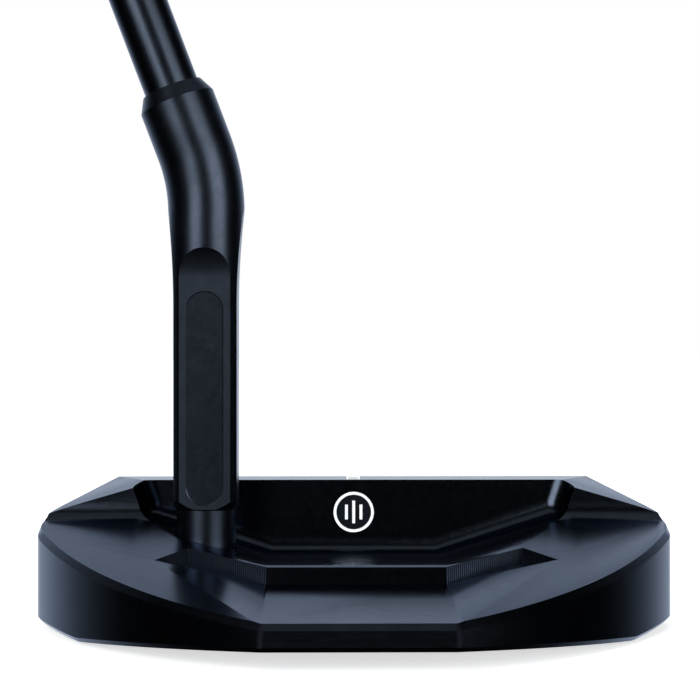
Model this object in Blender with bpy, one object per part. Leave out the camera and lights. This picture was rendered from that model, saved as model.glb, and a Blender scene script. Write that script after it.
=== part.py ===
"""Mallet putter, right-handed: milled head, bolted neck, steel shaft and grip.

+X runs towards the toe, +Y towards the target and +Z up. The origin is on the flat of the
sole, under the middle of the head. The driving dimensions are in millimetres, and each
mesh is scaled to metres when it is made. In the head, "depth" is the distance behind the
top edge of the face, so y = FACE_TOP_Y - depth.
"""

import math

import bmesh
import bpy
from mathutils import Vector

MM = 0.001
GAP = 0.3

# Head outline, seen from above
FACE_TOP_Y = 27.0
FACE_HALF_WIDTH = 42.6
HEAD_DEPTH = 65.5
REAR_HALF_WIDTH = 14.6
REAR_CORNER_RADIUS = 2.4
CORNER_CUT_END = (53.0, 12.1)
CORNER_RADIUS = 12.0
SIDE_RADIUS = 85.0
SIDE_CENTRE = (-24.6, -9.93)
LOFT_ANGLE = math.radians(3.0)
REACH = 70.0
SKY = 32.0

# Head heights
TOPLINE_HEIGHT = 24.4
TOPLINE_DEPTH = 9.0
SHOULDER_DEPTH = 13.0
SHOULDER_RADIUS = 3.5
FACET_START = 43.25
FACET_SLOPE_X = 0.291
FACET_SLOPE_DEPTH = 0.181
FLANGE_REAR_HEIGHT = 7.3
FLANGE_SLOPE = math.tan(math.radians(11.7))
EDGE_CHAMFER = 0.9
CHAMFER_START = 15.0
CHAMFER_FULL = 23.0

# Pocket behind the face: a flat floor, rising wings and steep side walls
POCKET_HALF_FLOOR = 14.8
POCKET_FLOOR = 11.45
POCKET_FLOOR_RISE = 0.043
WING_SLOPE = 0.326
WING_SLOPE_LOSS = 0.0062
POCKET_SIDE_FOOT = (37.2, 18.0)
POCKET_SIDE_RIM = (38.8, 22.7)
POCKET_CORNER_RADIUS = 3.0
POCKET_FILLET = 2.8
POCKET_END_RADIUS = 4.0
POCKET_END_DEPTH = 45.0

# Stepped ramp behind the pocket
STEP_DEPTH = 40.0
STEP_HALF_WIDTH = 14.4
STEP_FOOT = 9.8
STEP_PEAK = (27.9, 30.3, 11.8)
STEP_TIP = (33.0, 36.4, 13.33)

# Sole
SOLE_FRONT_DEPTH = 6.0
SOLE_REAR_DEPTH = 35.0
SOLE_REAR_RISE = 3.2
SOLE_FRONT_RISE = 1.1
SOLE_SIDE_START = 42.5
SOLE_SIDE_SLOPE = 0.10
SOLE_CHAMFER = 0.7

# Sole plate and its screws
PLATE_HALF_LENGTH = 34.0
PLATE_HALF_WIDTH = 13.0
PLATE_CENTRE_Y = 6.5
PLATE_THICKNESS = 3.0
PLATE_CORNER = 5.0
PLATE_SCREW_X = 30.0
PLATE_SCREW_Y = 9.0
PLATE_SCREW_HEAD = 2.3
PLATE_SCREW_SHANK = 1.2
PLATE_SCREW_LENGTH = 8.0

# Sole weights
WEIGHT_X = 43.0
WEIGHT_Y = 9.0
WEIGHT_RADIUS = 7.0
WEIGHT_BOTTOM = 0.9
WEIGHT_TOP = 7.4
WASHER_THICKNESS = 0.8
WASHER_RADIUS = 6.4
WASHER_HOLE = 3.0

# Neck
NECK_X = -25.55
NECK_DEPTH = 20.0
NECK_SEAT = 12.9
NECK_RADIUS = 6.58
NECK_FOOT_RADIUS = 5.1
NECK_FOOT_TOP = 20.3
NECK_SIDE = 5.4
NECK_SIDE_TOP = 55.0
NECK_SIDE_FADE = 72.5
NECK_FLAT = 4.95
NECK_FLAT_TOP = 60.0
NECK_FLAT_FADE = 65.0
BEND_HEIGHT = 77.05
BEND_RADIUS = 32.0
SHAFT_ANGLE = math.radians(20.9)
COLLAR_END = 16.6
COLLAR_CHAMFER = 2.5
COLLAR_LIP_RADIUS = 5.3
BORE_RADIUS = 5.05
BORE_END = -0.5
NECK_SCREW_SHANK = 2.0
NECK_SCREW_HEAD = 3.5
NECK_SCREW_HEAD_HEIGHT = 4.0
NECK_SCREW_TOP = 24.0
NECK_SCREW_SEAT = 8.4
DOWEL_RADIUS = 0.75
DOWEL_OFFSET = 3.55
DOWEL_BOTTOM = 9.4
DOWEL_TOP = 17.0

# Shaft and grip, as distances along the shaft from the corner of the neck's bend
SHAFT_START = 0.0
SHAFT_TIP_RADIUS = 4.75
SHAFT_WALL = 0.9
SHAFT_TAPER_START = 90.0
SHAFT_TAPER_END = 560.0
SHAFT_BUTT_RADIUS = 7.4
SHAFT_END = 774.0
PLUG_LENGTH = 14.0
GRIP_START = 514.0
GRIP_END = 778.0
CAP_THICKNESS = 3.5
CAP_VENT_RADIUS = 1.2
TAPE_THICKNESS = 0.4
CORE_THICKNESS = 1.6
GRIP_STATIONS = 14
GRIP_HALF_WIDTH = 10.6
GRIP_BACK = 10.4
GRIP_FRONT = 10.2
GRIP_TAPER = (2.4, 2.0, 1.0)
GRIP_SWELL_PLACE = 0.82
GRIP_SWELL_REACH = 0.2
GRIP_SWELL = (1.0, 2.8)
GRIP_MOUTH = 1.2

# Marks
ALIGNMENT_WIDTH = 1.8
ALIGNMENT_DEPTH = 0.6
ALIGNMENT_END = 7.6
BADGE_HEIGHT = 18.6
BADGE_RADIUS = 3.6
BADGE_LINE = 0.6
BADGE_BAR_LENGTHS = (2.6, 4.0, 2.6)
BADGE_BAR_PITCH = 1.3
BADGE_SINK = 0.5
BADGE_PLATE = 0.2
BADGE_CUT_END = 14.0

# Roundness of the turned pieces
FINE_SIDES = 32
PLAIN_SIDES = 20
SMALL_SIDES = 12


def clear_scene():
    for old in list(bpy.data.objects):
        bpy.data.objects.remove(old, do_unlink=True)


def material(name, colour, roughness, metallic):
    made = bpy.data.materials.new(name)
    made.use_nodes = True
    shader = made.node_tree.nodes["Principled BSDF"]
    shader.inputs["Base Color"].default_value = (*colour, 1.0)
    shader.inputs["Roughness"].default_value = roughness
    shader.inputs["Metallic"].default_value = metallic
    made.diffuse_color = (*colour, 1.0)
    return made


def head_point(x, depth, z):
    return Vector((x, FACE_TOP_Y - depth, z))


# Meshes


def new_object(name, bm, surface=None):
    """Turns a closed bmesh in millimetres into an object in metres."""
    bmesh.ops.recalc_face_normals(bm, faces=bm.faces)
    bmesh.ops.scale(bm, vec=Vector((MM, MM, MM)), verts=bm.verts)
    mesh = bpy.data.meshes.new(name)
    bm.to_mesh(mesh)
    bm.free()
    made = bpy.data.objects.new(name, mesh)
    bpy.context.scene.collection.objects.link(made)
    if surface:
        mesh.materials.append(surface)
        mesh.shade_smooth()
        mesh.set_sharp_from_angle(angle=math.radians(32.0))
    return made


def add_rings(bm, rings):
    """Skins a row of closed rings that have the same number of points, and caps both ends."""
    rows = [[bm.verts.new(point) for point in ring] for ring in rings]
    count = len(rows[0])
    for near, far in zip(rows, rows[1:]):
        for index in range(count):
            after = (index + 1) % count
            bm.faces.new((near[index], near[after], far[after], far[index]))
    bm.faces.new(rows[0])
    bm.faces.new(list(reversed(rows[-1])))


def ring_solid(name, rings, surface=None):
    bm = bmesh.new()
    add_rings(bm, rings)
    return new_object(name, bm, surface)


def hollow_solid(name, outer, inner, surface):
    """A tube between two rows of rings that run the same way, with flat open ends."""
    bm = bmesh.new()
    rows = [[bm.verts.new(point) for point in ring] for ring in outer + inner[::-1]]
    count = len(rows[0])
    for near, far in zip(rows, rows[1:] + rows[:1]):
        for index in range(count):
            after = (index + 1) % count
            bm.faces.new((near[index], near[after], far[after], far[index]))
    return new_object(name, bm, surface)


def cut(target, cutter):
    """Takes the cutter away from the target, and keeps it as a hidden helper."""
    cutter.hide_render = True
    cutter.display_type = "WIRE"
    step = target.modifiers.new(cutter.name, "BOOLEAN")
    step.operation = "DIFFERENCE"
    step.solver = "EXACT"
    step.object = cutter


def join(target, other):
    """Adds the other solid to the target, and keeps it as a hidden helper."""
    cut(target, other)
    target.modifiers[other.name].operation = "UNION"


def prism_rings(outline, low, high):
    return [[Vector((x, y, low)) for x, y in outline], [Vector((x, y, high)) for x, y in outline]]


def sideways_prism(name, profile, half_width):
    """Extrudes a (depth, z) profile along X."""
    rings = [[head_point(x, depth, z) for depth, z in profile] for x in (-half_width, half_width)]
    return ring_solid(name, rings)


def circle(radius, sides, centre=(0.0, 0.0)):
    turns = [2 * math.pi * index / sides for index in range(sides)]
    return [(centre[0] + radius * math.cos(a), centre[1] + radius * math.sin(a)) for a in turns]


def turned_rings(profile, sides, centre=(0.0, 0.0)):
    """Rings about a vertical line, from (radius, z) pairs."""
    return [[Vector((x, y, z)) for x, y in circle(radius, sides, centre)] for radius, z in profile]


def rounded_rectangle(half_x, half_y, radius, centre_y, steps=5):
    outline = []
    corners = ((1, 1, 0), (-1, 1, 1), (-1, -1, 2), (1, -1, 3))
    for side_x, side_y, quarter in corners:
        for step in range(steps + 1):
            angle = math.pi / 2 * (quarter + step / steps)
            x = side_x * (half_x - radius) + radius * math.cos(angle)
            y = centre_y + side_y * (half_y - radius) + radius * math.sin(angle)
            outline.append((x, y))
    return outline


# Head


def arc_points(centre, radius, first, last, steps):
    points = []
    for step in range(steps + 1):
        angle = first + (last - first) * step / steps
        points.append((centre.x + radius * math.cos(angle), centre.y + radius * math.sin(angle)))
    return points


def corner_fillet_centre(start, along, inward):
    """Centre of the arc that is tangent to the corner cut and to the side's big arc."""
    foot = start + inward * CORNER_RADIUS - Vector(SIDE_CENTRE)
    reach = SIDE_RADIUS - CORNER_RADIUS
    half_b = foot.dot(along)
    distance = -half_b + math.sqrt(half_b**2 - foot.length_squared + reach**2)
    return start + inward * CORNER_RADIUS + along * distance


def rear_fillet_centre():
    """Centre of the small arc between the side's big arc and the rear flat."""
    depth = HEAD_DEPTH - REAR_CORNER_RADIUS
    reach = SIDE_RADIUS - REAR_CORNER_RADIUS
    side_x, side_depth = SIDE_CENTRE
    return Vector((side_x + math.sqrt(reach**2 - (depth - side_depth) ** 2), depth))


def toe_outline(corner_steps=6, side_steps=22, rear_steps=3):
    """(x, depth) points of the toe half, from the face round to the rear flat."""
    start = Vector((FACE_HALF_WIDTH, 0.0))
    along = (Vector(CORNER_CUT_END) - start).normalized()
    inward = Vector((-along.y, along.x))
    corner = corner_fillet_centre(start, along, inward)
    rear = rear_fillet_centre()
    side = Vector(SIDE_CENTRE)
    corner_start = math.atan2(-inward.y, -inward.x)
    side_start = math.atan2(corner.y - side.y, corner.x - side.x)
    side_end = math.atan2(rear.y - side.y, rear.x - side.x)
    front = start - along * 2.7
    points = [(front.x, front.y)]
    points += arc_points(corner, CORNER_RADIUS, corner_start, side_start, corner_steps)
    points += arc_points(side, SIDE_RADIUS, side_start, side_end, side_steps)[1:]
    points += arc_points(rear, REAR_CORNER_RADIUS, side_end, math.pi / 2, rear_steps)[1:]
    return points


def flange_height(depth):
    return FLANGE_REAR_HEIGHT + FLANGE_SLOPE * (HEAD_DEPTH - depth)


def inset_outline(points, distance):
    """Moves a closed (x, depth) outline inwards by a distance, with mitred corners."""
    moved = []
    for index, point in enumerate(points):
        before = Vector(points[index - 1])
        here = Vector(point)
        after = Vector(points[(index + 1) % len(points)])
        first = (here - before).normalized()
        second = (after - here).normalized()
        first_in = Vector((-first.y, first.x))
        second_in = Vector((-second.y, second.x))
        bisector = (first_in + second_in).normalized()
        moved.append(here + bisector * distance / bisector.dot(first_in))
    return [(point.x, point.y) for point in moved]


def chamfered_outline(outline):
    """The outline inside the upper chamfer, which fades out towards the shoulders."""
    faded = []
    for (x, depth), (inner_x, inner_depth) in zip(outline, inset_outline(outline, EDGE_CHAMFER)):
        share = (depth - CHAMFER_START) / (CHAMFER_FULL - CHAMFER_START)
        share = min(max(share, 0.0), 1.0)
        faded.append((x + (inner_x - x) * share, depth + (inner_depth - depth) * share))
    return faded


def head_blank(surface):
    """The outline between the sole and the topline. Its upper edge is chamfered along the flange."""
    toe = toe_outline()
    outline = toe + [(-x, depth) for x, depth in reversed(toe)]
    inner = chamfered_outline(outline)
    low = inset_outline(outline, SOLE_CHAMFER)
    rings = [
        [head_point(x, depth, sole_height(x, depth)) for x, depth in low],
        [head_point(x, depth, sole_height(x, depth) + SOLE_CHAMFER) for x, depth in outline],
        [head_point(x, depth, flange_height(depth) - EDGE_CHAMFER) for x, depth in outline],
        [head_point(x, depth, flange_height(depth)) for x, depth in inner],
        [head_point(x, depth, TOPLINE_HEIGHT + 1.0) for x, depth in inner],
    ]
    return ring_solid("head_body", rings, surface)


def sole_height(x, depth):
    """Height of the sole: flat in the middle, rising to the face, the rear, the heel and the toe."""
    rear = SOLE_REAR_RISE * (depth - SOLE_REAR_DEPTH) / (HEAD_DEPTH - SOLE_REAR_DEPTH)
    front = SOLE_FRONT_RISE * (SOLE_FRONT_DEPTH - depth) / SOLE_FRONT_DEPTH
    side = SOLE_SIDE_SLOPE * (abs(x) - SOLE_SIDE_START)
    return max(0.0, rear, front, side)


def cut_sole_relief(head):
    """Planes that lift the front, rear, heel and toe of the sole off the ground."""
    below = -6.0
    rear_end = HEAD_DEPTH + 5.0
    rear_rise = SOLE_REAR_RISE * (rear_end - SOLE_REAR_DEPTH) / (HEAD_DEPTH - SOLE_REAR_DEPTH)
    rear = [(SOLE_REAR_DEPTH, 0.0), (SOLE_REAR_DEPTH, below), (rear_end, below), (rear_end, rear_rise)]
    cut(head, sideways_prism("sole_rear_relief", rear, REACH))
    front_end = -6.0
    front_rise = SOLE_FRONT_RISE * (SOLE_FRONT_DEPTH - front_end) / SOLE_FRONT_DEPTH
    start = SOLE_FRONT_DEPTH
    front = [(start, 0.0), (start, below), (front_end, below), (front_end, front_rise)]
    cut(head, sideways_prism("sole_front_relief", front, REACH))
    side_end = 60.0
    side_rise = SOLE_SIDE_SLOPE * (side_end - SOLE_SIDE_START)
    for side, name in ((-1, "sole_heel_relief"), (1, "sole_toe_relief")):
        start = SOLE_SIDE_START
        corners = [(start, 0.0), (start, below), (side_end, below), (side_end, side_rise)]
        rings = [[head_point(side * x, depth, z) for x, z in corners] for depth in (-8.0, 75.0)]
        cut(head, ring_solid(name, rings))


def cut_face_loft(head):
    """The striking face leans back by the loft, about its top edge."""
    over = 6.0
    drop = TOPLINE_HEIGHT + over
    low = TOPLINE_HEIGHT - drop
    high = TOPLINE_HEIGHT + over
    foot = -drop * math.tan(LOFT_ANGLE)
    lean = over * math.tan(LOFT_ANGLE)
    profile = [(foot, low), (-20.0, low), (-20.0, high), (lean, high)]
    cut(head, sideways_prism("face_plane", profile, REACH))


def flange_profile(steps=8):
    """(depth, z) outline of what is milled off behind the shoulders."""
    slope = math.atan(FLANGE_SLOPE)
    centre_depth = SHOULDER_DEPTH + SHOULDER_RADIUS
    centre_z = flange_height(centre_depth) + SHOULDER_RADIUS / math.cos(slope)
    centre = Vector((centre_depth, centre_z))
    profile = [(SHOULDER_DEPTH, SKY)]
    profile += arc_points(centre, SHOULDER_RADIUS, math.pi, 1.5 * math.pi - slope, steps)
    end = HEAD_DEPTH + 6.0
    return profile + [(end, flange_height(end)), (end, SKY)]


def cut_shoulder_facets(head):
    """One sloping plane on each shoulder, from the end of the topline down to the outer corner."""
    for side, name in ((-1, "heel_facet"), (1, "toe_facet")):
        rings = []
        for x in (28.0, REACH):
            ring = []
            for depth in (-12.0, 20.0):
                fall = FACET_SLOPE_X * (x - FACET_START) + FACET_SLOPE_DEPTH * depth
                ring.append(head_point(side * x, depth, TOPLINE_HEIGHT - fall))
            ring.append(head_point(side * x, 20.0, 40.0))
            ring.append(head_point(side * x, -12.0, 40.0))
            rings.append(ring)
        cut(head, ring_solid(name, rings))


def pocket_half_profile(depth, corner_steps=6):
    """(x, z) points of the toe half of the pocket at one depth, from its middle outwards."""
    floor = POCKET_FLOOR + POCKET_FLOOR_RISE * (depth - TOPLINE_DEPTH)
    slope = WING_SLOPE - WING_SLOPE_LOSS * (depth - TOPLINE_DEPTH)
    wing = Vector((1.0, slope)).normalized()
    crease = Vector((POCKET_HALF_FLOOR, floor))
    foot = Vector(POCKET_SIDE_FOOT)
    side = (Vector(POCKET_SIDE_RIM) - foot).normalized()
    across = crease - foot
    along_wing = -(across.x * side.y - across.y * side.x) / (wing.x * side.y - wing.y * side.x)
    corner = crease + wing * along_wing
    turn = math.acos(wing.dot(side))
    reach = POCKET_CORNER_RADIUS * math.tan(turn / 2)
    normal = Vector((-wing.y, wing.x))
    centre = corner - wing * reach + normal * POCKET_CORNER_RADIUS
    first = math.atan2(-normal.y, -normal.x)
    arc = arc_points(centre, POCKET_CORNER_RADIUS, first, first + turn, corner_steps)
    points = [crease] + [Vector(point) for point in arc]
    points.append(foot + side * ((SKY + 2.0 - foot.y) / side.y))
    return points


def offset_path(points, distance):
    """Moves an open (x, z) path to its left by a distance."""
    moved = []
    for index, point in enumerate(points):
        before = points[max(index - 1, 0)]
        after = points[min(index + 1, len(points) - 1)]
        first = (point - before).normalized() if index > 0 else (after - point).normalized()
        second = (after - point).normalized() if index < len(points) - 1 else first
        left = (Vector((-first.y, first.x)) + Vector((-second.y, second.x))).normalized()
        moved.append(point + left * distance / left.dot(Vector((-first.y, first.x))))
    return moved


def fillet_inset(ahead, radius):
    """How far a fillet still stands in from its wall, at a distance ahead of the other wall."""
    rest = max(radius - ahead, 0.0)
    return radius - math.sqrt(radius**2 - rest**2)


def pocket_rings(fillet_steps=8, length_steps=5):
    """Cross-sections of the pocket from the wall behind the face to past the step."""
    places = []
    for step in range(fillet_steps + 1):
        places.append(POCKET_END_RADIUS * (1 - math.cos(math.pi / 2 * step / fillet_steps)))
    length = POCKET_END_DEPTH - TOPLINE_DEPTH - POCKET_END_RADIUS
    for step in range(1, length_steps + 1):
        places.append(POCKET_END_RADIUS + length * step / length_steps)
    wing = POCKET_SIDE_FOOT[0] - POCKET_HALF_FLOOR
    rings = []
    for ahead in places:
        depth = TOPLINE_DEPTH + ahead
        floor_inset = fillet_inset(ahead, POCKET_FILLET)
        squeeze = 1 - (fillet_inset(ahead, POCKET_END_RADIUS) - floor_inset) / wing
        half = []
        for point in offset_path(pocket_half_profile(depth), floor_inset):
            half.append((POCKET_HALF_FLOOR + (point.x - POCKET_HALF_FLOOR) * squeeze, point.y))
        ring = [(-x, z) for x, z in reversed(half)] + half
        rings.append([head_point(x, depth, z) for x, z in ring])
    return rings


def step_rings():
    """The ramp behind the pocket: floor and roof of its cutter, with the same outline."""
    fall = (STEP_FOOT - FLANGE_REAR_HEIGHT) / (HEAD_DEPTH - STEP_DEPTH)
    end = HEAD_DEPTH + 4.0
    end_z = FLANGE_REAR_HEIGHT - fall * 4.0
    half = [
        (STEP_HALF_WIDTH, STEP_DEPTH, STEP_FOOT),
        STEP_PEAK,
        STEP_TIP,
        (REAR_HALF_WIDTH + GAP, HEAD_DEPTH - GAP, flange_height(HEAD_DEPTH - GAP) + 0.02),
        (STEP_HALF_WIDTH, end, end_z),
    ]
    outline = half + [(-x, depth, z) for x, depth, z in reversed(half)]
    return half, outline


def step_cutter():
    """Ramp cutter. Its floor has a middle plane and two triangles on each side."""
    half, outline = step_rings()
    bm = bmesh.new()
    floor = [bm.verts.new(head_point(x, depth, z)) for x, depth, z in outline]
    roof = [bm.verts.new(head_point(x, depth, SKY)) for x, depth, z in outline]
    count = len(outline)
    for index in range(count):
        after = (index + 1) % count
        bm.faces.new((floor[index], floor[after], roof[after], roof[index]))
    bm.faces.new(roof)
    foot, peak, tip, rear, end = floor[:5]
    bm.faces.new((foot, peak, tip))
    bm.faces.new((foot, tip, rear))
    bm.faces.new((foot, rear, end))
    far_end, far_rear, far_tip, far_peak, far_foot = floor[5:]
    bm.faces.new((far_foot, far_tip, far_peak))
    bm.faces.new((far_foot, far_rear, far_tip))
    bm.faces.new((far_foot, far_end, far_rear))
    bm.faces.new((foot, end, far_end, far_foot))
    return new_object("step_cut", bm)


def cut_sole_fittings(head):
    """Recess of the sole plate, weight pockets, tapped holes and the neck's seat and screw hole."""
    half_length = PLATE_HALF_LENGTH + GAP
    recess = rounded_rectangle(half_length, PLATE_HALF_WIDTH + GAP, PLATE_CORNER + GAP, PLATE_CENTRE_Y)
    cut(head, ring_solid("plate_recess", prism_rings(recess, -2.0, PLATE_THICKNESS + GAP)))
    for side, name in ((-1, "heel_weight_pocket"), (1, "toe_weight_pocket")):
        centre = (side * WEIGHT_X, WEIGHT_Y)
        top = WEIGHT_TOP + WASHER_THICKNESS + 2 * GAP
        profile = [(WEIGHT_RADIUS + GAP, -2.0), (WEIGHT_RADIUS + GAP, top)]
        cut(head, ring_solid(name, turned_rings(profile, FINE_SIDES, centre)))
    holes = bmesh.new()
    for x, y in plate_screw_places():
        profile = [(PLATE_SCREW_SHANK + GAP, 2.0), (PLATE_SCREW_SHANK + GAP, PLATE_SCREW_LENGTH + GAP)]
        add_rings(holes, turned_rings(profile, SMALL_SIDES, (x, y)))
    dowel = [(DOWEL_RADIUS + GAP, DOWEL_BOTTOM - GAP), (DOWEL_RADIUS + GAP, NECK_SEAT + 1.0)]
    add_rings(holes, turned_rings(dowel, SMALL_SIDES, dowel_place()))
    cut(head, new_object("small_holes", holes))
    neck = neck_place()
    bolt = [
        (NECK_SCREW_HEAD + GAP, 2.0),
        (NECK_SCREW_HEAD + GAP, NECK_SCREW_SEAT),
        (NECK_SCREW_SHANK + GAP, NECK_SCREW_SEAT),
        (NECK_SCREW_SHANK + GAP, NECK_SEAT + 1.0),
    ]
    cut(head, ring_solid("neck_screw_hole", turned_rings(bolt, PLAIN_SIDES, neck)))
    seat = [(NECK_FOOT_RADIUS + GAP, NECK_SEAT), (NECK_FOOT_RADIUS + GAP, SKY)]
    cut(head, ring_solid("neck_seat", turned_rings(seat, FINE_SIDES, neck)))


def cut_marks(head):
    """Groove in the topline, and the recess behind the badge."""
    half = ALIGNMENT_WIDTH / 2 + GAP
    bottom = TOPLINE_HEIGHT - ALIGNMENT_DEPTH - GAP
    end = ALIGNMENT_END + GAP
    profile = [(-4.0, bottom), (-4.0, SKY), (end, SKY), (end, bottom)]
    cut(head, sideways_prism("alignment_groove", profile, half))
    outline = circle(BADGE_RADIUS + GAP, FINE_SIDES, (0.0, BADGE_HEIGHT))
    depths = (TOPLINE_DEPTH - BADGE_SINK - GAP, BADGE_CUT_END)
    rings = [[head_point(x, depth, z) for x, z in outline] for depth in depths]
    cut(head, ring_solid("badge_recess", rings))


def cut_topline(head):
    corners = [(-REACH, -REACH), (REACH, -REACH), (REACH, REACH), (-REACH, REACH)]
    cut(head, ring_solid("topline_plane", prism_rings(corners, TOPLINE_HEIGHT, 40.0)))


def make_head(surface):
    head = head_blank(surface)
    cut_face_loft(head)
    cut(head, sideways_prism("flange_cut", flange_profile(), REACH))
    cut_topline(head)
    cut_shoulder_facets(head)
    cut(head, ring_solid("pocket", pocket_rings()))
    cut(head, step_cutter())
    cut_sole_fittings(head)
    cut_marks(head)
    return head


# Pieces in the sole


def plate_screw_places():
    places = []
    for x in (-PLATE_SCREW_X, PLATE_SCREW_X):
        for y in (PLATE_CENTRE_Y - PLATE_SCREW_Y, PLATE_CENTRE_Y + PLATE_SCREW_Y):
            places.append((x, y))
    return places


def make_sole_plate(surface):
    outline = rounded_rectangle(PLATE_HALF_LENGTH, PLATE_HALF_WIDTH, PLATE_CORNER, PLATE_CENTRE_Y)
    plate = ring_solid("sole_plate", prism_rings(outline, 0.0, PLATE_THICKNESS), surface)
    holes = bmesh.new()
    head = PLATE_SCREW_HEAD + GAP
    shank = PLATE_SCREW_SHANK + GAP
    for place in plate_screw_places():
        profile = [(head + 1.0, -1.0), (head, 0.0), (shank, head - shank), (shank, PLATE_THICKNESS + 1.0)]
        add_rings(holes, turned_rings(profile, PLAIN_SIDES, place))
    cut(plate, new_object("plate_holes", holes))
    return plate


def make_plate_screws(surface):
    low = 0.25
    taper = PLATE_SCREW_HEAD - PLATE_SCREW_SHANK
    profile = [
        (0.7, low + 1.0),
        (0.8, low),
        (PLATE_SCREW_HEAD - low, low),
        (PLATE_SCREW_SHANK, low + taper),
        (PLATE_SCREW_SHANK, PLATE_SCREW_LENGTH - 0.3),
        (PLATE_SCREW_SHANK - 0.3, PLATE_SCREW_LENGTH),
    ]
    for number, place in enumerate(plate_screw_places(), 1):
        ring_solid(f"sole_plate_screw_{number}", turned_rings(profile, SMALL_SIDES, place), surface)


def make_weight(name, side, surface):
    centre = (side * WEIGHT_X, WEIGHT_Y)
    profile = [
        (WEIGHT_RADIUS - 0.4, WEIGHT_BOTTOM),
        (WEIGHT_RADIUS, WEIGHT_BOTTOM + 0.4),
        (WEIGHT_RADIUS, WEIGHT_TOP - 0.4),
        (WEIGHT_RADIUS - 0.4, WEIGHT_TOP),
    ]
    weight = ring_solid(name, turned_rings(profile, FINE_SIDES, centre), surface)
    socket = [(2.3, WEIGHT_BOTTOM - 1.0), (2.3, WEIGHT_BOTTOM + 3.0)]
    cut(weight, ring_solid(name + "_socket", turned_rings(socket, 6, centre)))
    return weight


def make_washer(name, side, surface):
    low = WEIGHT_TOP + GAP
    high = low + WASHER_THICKNESS
    centre = (side * WEIGHT_X, WEIGHT_Y)
    outer = turned_rings([(WASHER_RADIUS, low), (WASHER_RADIUS, high)], FINE_SIDES, centre)
    inner = turned_rings([(WASHER_HOLE, low), (WASHER_HOLE, high)], FINE_SIDES, centre)
    return hollow_solid(name, outer, inner, surface)


# Neck


def neck_place():
    return (NECK_X, FACE_TOP_Y - NECK_DEPTH)


def dowel_place():
    x, y = neck_place()
    return (x, y + DOWEL_OFFSET)


def shaft_direction():
    return Vector((-math.sin(SHAFT_ANGLE), 0.0, math.cos(SHAFT_ANGLE)))


def shaft_point(distance):
    """A point on the shaft's axis, at a distance above the corner of the bend."""
    x, y = neck_place()
    return Vector((x, y, BEND_HEIGHT)) + shaft_direction() * distance


def shaft_ring(distance, radius, sides):
    """A ring across the shaft. Its first point faces +X."""
    across = Vector((math.cos(SHAFT_ANGLE), 0.0, math.sin(SHAFT_ANGLE)))
    middle = shaft_point(distance)
    ring = []
    for index in range(sides):
        angle = 2 * math.pi * index / sides
        sideways = Vector((0.0, math.sin(angle), 0.0))
        ring.append(middle + radius * (across * math.cos(angle) + sideways))
    return ring


def neck_rings(bend_steps=10):
    """Rings of the bent bar, from its foot to the collar."""
    x, y = neck_place()
    rings = []
    foot = [
        (NECK_FOOT_RADIUS, NECK_SEAT + GAP),
        (NECK_FOOT_RADIUS, NECK_FOOT_TOP),
        (NECK_RADIUS, NECK_FOOT_TOP + NECK_RADIUS - NECK_FOOT_RADIUS),
        (NECK_RADIUS, 45.0),
    ]
    rings += turned_rings(foot, FINE_SIDES, (x, y))
    tangent = BEND_RADIUS * math.tan(SHAFT_ANGLE / 2)
    for step in range(bend_steps + 1):
        angle = SHAFT_ANGLE * step / bend_steps
        sideways = BEND_RADIUS * (1 - math.cos(angle))
        upwards = BEND_HEIGHT - tangent + BEND_RADIUS * math.sin(angle)
        centre = Vector((x - sideways, y, upwards))
        across = Vector((math.cos(angle), 0.0, math.sin(angle)))
        ring = []
        for index in range(FINE_SIDES):
            turn = 2 * math.pi * index / FINE_SIDES
            ring.append(centre + NECK_RADIUS * (across * math.cos(turn) + Vector((0, math.sin(turn), 0))))
        rings.append(ring)
    rings.append(shaft_ring(COLLAR_END - COLLAR_CHAMFER, NECK_RADIUS, FINE_SIDES))
    rings.append(shaft_ring(COLLAR_END, COLLAR_LIP_RADIUS, FINE_SIDES))
    return rings


def fade_arc(start, end, rise, steps=8):
    """Pairs (height, outward distance) of a cutter's round run-out."""
    radius = ((end - start) ** 2 + rise**2) / (2 * rise)
    pairs = []
    for step in range(steps + 1):
        along = (end - start) * step / steps
        pairs.append((start + along, radius - math.sqrt(radius**2 - along**2)))
    return pairs


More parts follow.
